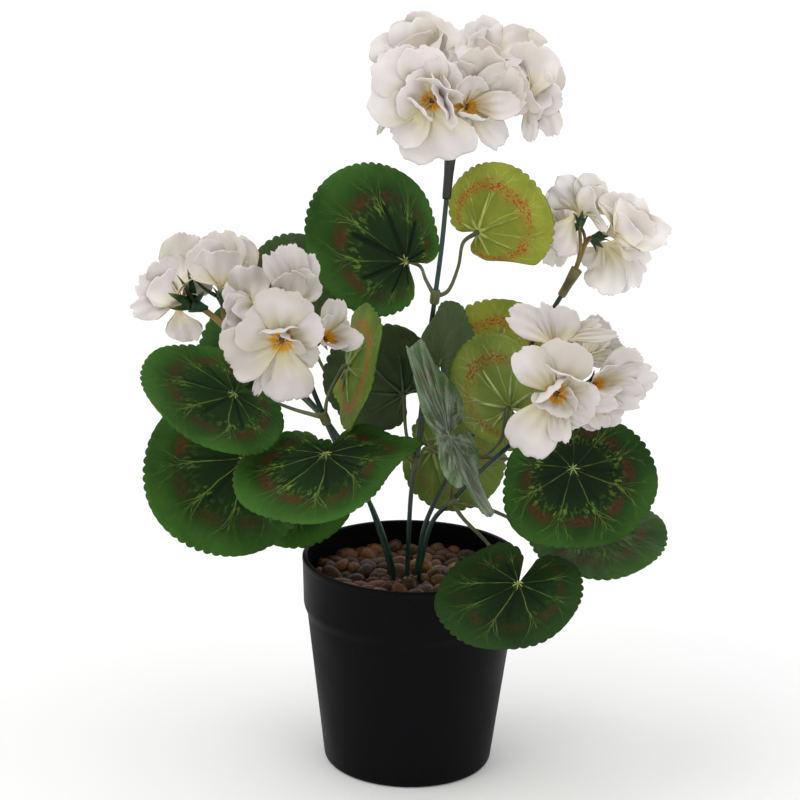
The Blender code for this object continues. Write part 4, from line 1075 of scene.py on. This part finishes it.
holder = {  # mm; the profiles are (radius, height) points along their axis
    "socket": [(0, 0.2), (1.9, 0.0), (2.15, 1.0), (2.3, 9.0), (2.75, 15.0), (3.0, 20.0), (0, 21.0)],
    "cup": [(0, -5.2), (0.95, -5.0), (1.15, -4.0), (1.6, -2.6), (2.1, -1.3), (2.35, -0.3), (0, 0.2)],
    "knob": [(0, -0.5), (0.9, -0.4), (1.0, 0.4), (0.6, 1.0), (0, 1.2)],
    "pin": [(0.2, 0.3), (1.0, 0.24), (1.8, 0.26), (2.6, 0.38)],  # height and radius
    "pedicel": 0.85, "calyxLength": 5.0, "calyxBelow": 0.7, "lead": 2.5, "steps": 7, "bow": 0.12,
    "sepals": 5, "sepalWidth": 0.27, "sepalTurn": 30,  # width a share of the length, turn in degrees
    "sides": {"socket": 20, "pedicel": 10, "cup": 14, "pin": 7, "knob": 12},
}


def sepalPatch(base, axis, radial, length, width, bends, twist=0.0):
    # a pointed tongue: half width = width * (1 - t)^0.7, its middle line turning from the first bend to the
    # second and its face turned by the twist about that line
    side = np.cross(axis, radial)
    t, v = np.linspace(0, 1, 8), np.linspace(-1, 1, 5)
    bend = np.radians(bends[0] + (bends[1] - bends[0]) * t)
    step = np.concatenate([[0], np.diff(t)]) * length
    out, up = 2.0 + np.cumsum(np.sin(bend) * step), np.cumsum(np.cos(bend) * step) - 0.6
    half = (width * (1 - t) ** 0.7 + 0.05)[:, None]
    inward = spun(-radial, axis, bend[:, None])
    middle = base / mm + radial * out[:, None] + axis * up[:, None]
    across, inward = spun(side, inward, math.radians(twist)), spun(inward, -side, math.radians(twist))
    front = middle[:, None] + across[:, None] * (v * half)[..., None]
    front = front + inward[:, None] * (0.25 * v ** 2 * half)[..., None]
    back = front - inward[:, None] * (0.35 * (1 - 0.8 * v ** 2) * (1 - 0.7 * t[:, None]))[..., None]
    ring = np.concatenate([front, back[:, ::-1][:, 1:-1]], 1) * mm
    ends = np.repeat(ring[[0, -1]].mean(1, keepdims=True), ring.shape[1], 1)
    tip = np.concatenate([[0], t, [1.0]])[:, None]
    return patch(np.concatenate([ends[:1], ring, ends[1:]]), 2, ball=True, flip=True, values={"tip": tip})


def makeHolder(head, stem, spread, group, materials):
    # a socket on the wire, and for each floret a pedicel, a calyx cup with sepals, and five stamens on a knob
    chance = np.random.default_rng(len(head))
    spread = np.array(spread, float) * mm
    foot, end = stemRoute(stem)[-2:]
    along = unit(end - foot)
    socket = np.array(holder["socket"]) * mm
    socket[:, 1] *= np.linalg.norm(spread - foot) / socket[-2, 1]
    sides = holder["sides"]
    parts = [turnedPatch(socket, sides["socket"], 0, foot, along)]
    for floret in group:
        axis, stout = direction(*floret["face"]), floret["stout"]
        base = np.array(floret["at"], float) * mm
        tip = base - axis * holder["calyxBelow"] * mm
        throat = tip - axis * holder["calyxLength"] * mm
        middle = 0.5 * (spread + throat) + (along - axis) * holder["bow"] * np.linalg.norm(throat - spread)
        first = spread - along * holder["lead"] * mm
        route = smoothRoute([first, middle, throat, tip - axis * mm], holder["steps"])
        swell = 1.3 - 0.35 * np.sin(np.pi * np.linspace(0, 1, len(route)))
        parts.append(tubePatch(route, holder["pedicel"] * stout * mm * swell, sides["pedicel"], 1))
        parts.append(turnedPatch(np.array(holder["cup"]) * stout * mm, sides["cup"], 2, tip, axis))
        for x, y, z, width, twist in floret["sepals"]:
            reach = np.array([x, y, z], float)
            length, high = np.linalg.norm(reach), reach @ axis
            lean = math.degrees(math.acos(high / length))
            radial = unit(reach - axis * high)
            parts.append(sepalPatch(tip, axis, radial, length, width, (lean + 12, lean - 12), twist))
        for turn in chance.uniform(0, 2 * np.pi) + spokes(holder["sepals"]):
            radial = spun(*crossAxes(axis), turn)
            last = holder["sepalTurn"] + 0.9 * floret["start"] + chance.normal(0, 8)
            length = floret["sepal"] * chance.uniform(0.85, 1.15)
            width = floret["sepal"] * holder["sepalWidth"]
            parts.append(sepalPatch(tip, axis, radial, length, width, (0.35 * last, last)))
            height, radius = np.array(holder["pin"]).T[:, :, None] * mm
            pin = base + unit(axis + radial * 0.35) * height
            parts.append(tubePatch(pin, radius[:, 0], sides["pin"], 3))
        parts.append(turnedPatch(np.array(holder["knob"]) * mm, sides["knob"], 3, base, axis))
    makePiece(f"umbel_{head}_holder", parts, materials, f"umbel_{head}")


def makeCalyxPlastic():
    # dark green, with paler tips to its sepals
    finish = Finish("calyx plastic", 0.4)
    drift = finish.noise(300.0, 3.0)
    color = drift.ease(0.35, 0.65).mix((0.010, 0.036, 0.010), (0.022, 0.070, 0.018))
    color = finish.value("tip").ease(0.6, 1.0, 0.0, 0.8).mix(color, (0.14, 0.20, 0.05))
    return finish.done(color, drift.ease(0.3, 0.7, 0.45, 0.6), drift.bump(0.0003, 0.5))


def makeStamenPlastic():
    # orange, darker in patches of a noise
    finish = Finish("stamen plastic", Roughness=0.5)
    drift = finish.noise(500.0)
    color = drift.ease(0.35, 0.65).mix((0.20, 0.06, 0.005), (0.65, 0.26, 0.015))
    return finish.done(color, normal=drift.bump(0.0002, 0.5))


socketPlastic = makeStalkPlastic("dark socket plastic", (0.010, 0.014, 0.007), (0.026, 0.030, 0.014))
goldSocketPlastic = makeStalkPlastic("gold socket plastic", (0.085, 0.070, 0.022), (0.21, 0.17, 0.060))
pedicelPlastic = makeStalkPlastic("golden stalk plastic", (0.105, 0.075, 0.014), (0.30, 0.19, 0.035))
holderMaterials = [pedicelPlastic, makeCalyxPlastic(), makeStamenPlastic()]
for head, (stem, spread, _) in heads.items():
    socket = goldSocketPlastic if head == "right_high" else socketPlastic
    makeHolder(head, stem, spread, florets[head], [socket, *holderMaterials])
print("flower holders made")

studio = {
    "floor": (0.94, 0.94, 0.94), "floorHalf": 30.0, "sky": 0.88,
    "suns": [  # where the light comes from, soft angle (degrees), strength
        ((-0.7, -0.35, 0.9), 45.0, 0.85),
        ((0.85, -0.3, 0.7), 60.0, 0.42),
    ],
}


def makeStudio(setup):
    # a wide paper floor, an even white sky and two soft suns
    half = setup["floorHalf"]
    mesh = bpy.data.meshes.new("floor")
    corners = ((-1, -1), (1, -1), (1, 1), (-1, 1))
    mesh.from_pydata([(x * half, y * half, 0) for x, y in corners], [], [range(4)])
    floor = bpy.data.objects.new("floor", mesh)
    bpy.context.scene.collection.objects.link(floor)
    finish = Finish("studio paper", 0.1, Roughness=0.9)
    shade = finish.noise(3.0).ease(0.3, 0.7).mix(setup["floor"], tuple(0.99 * c for c in setup["floor"]))
    mesh.materials.append(finish.done(shade))
    world = bpy.data.worlds.new("studio")
    bpy.context.scene.world = world
    world.use_nodes = True
    sky = world.node_tree.nodes["Background"]
    sky.inputs["Color"].default_value = (1.0, 1.0, 1.0, 1.0)
    sky.inputs["Strength"].default_value = setup["sky"]
    for k, (place, angle, strength) in enumerate(setup["suns"]):
        data = bpy.data.lights.new(f"sun_{k}", "SUN")
        data.angle, data.energy = math.radians(angle), strength
        back = unit(np.array(place, float))
        side = unit(np.cross((0, 0, 1.0), back))
        linkObject(f"sun_{k}", data, (side, np.cross(back, side), back), back)
    bpy.context.scene.view_settings.view_transform = "Standard"


makeStudio(studio)
print("studio lit")
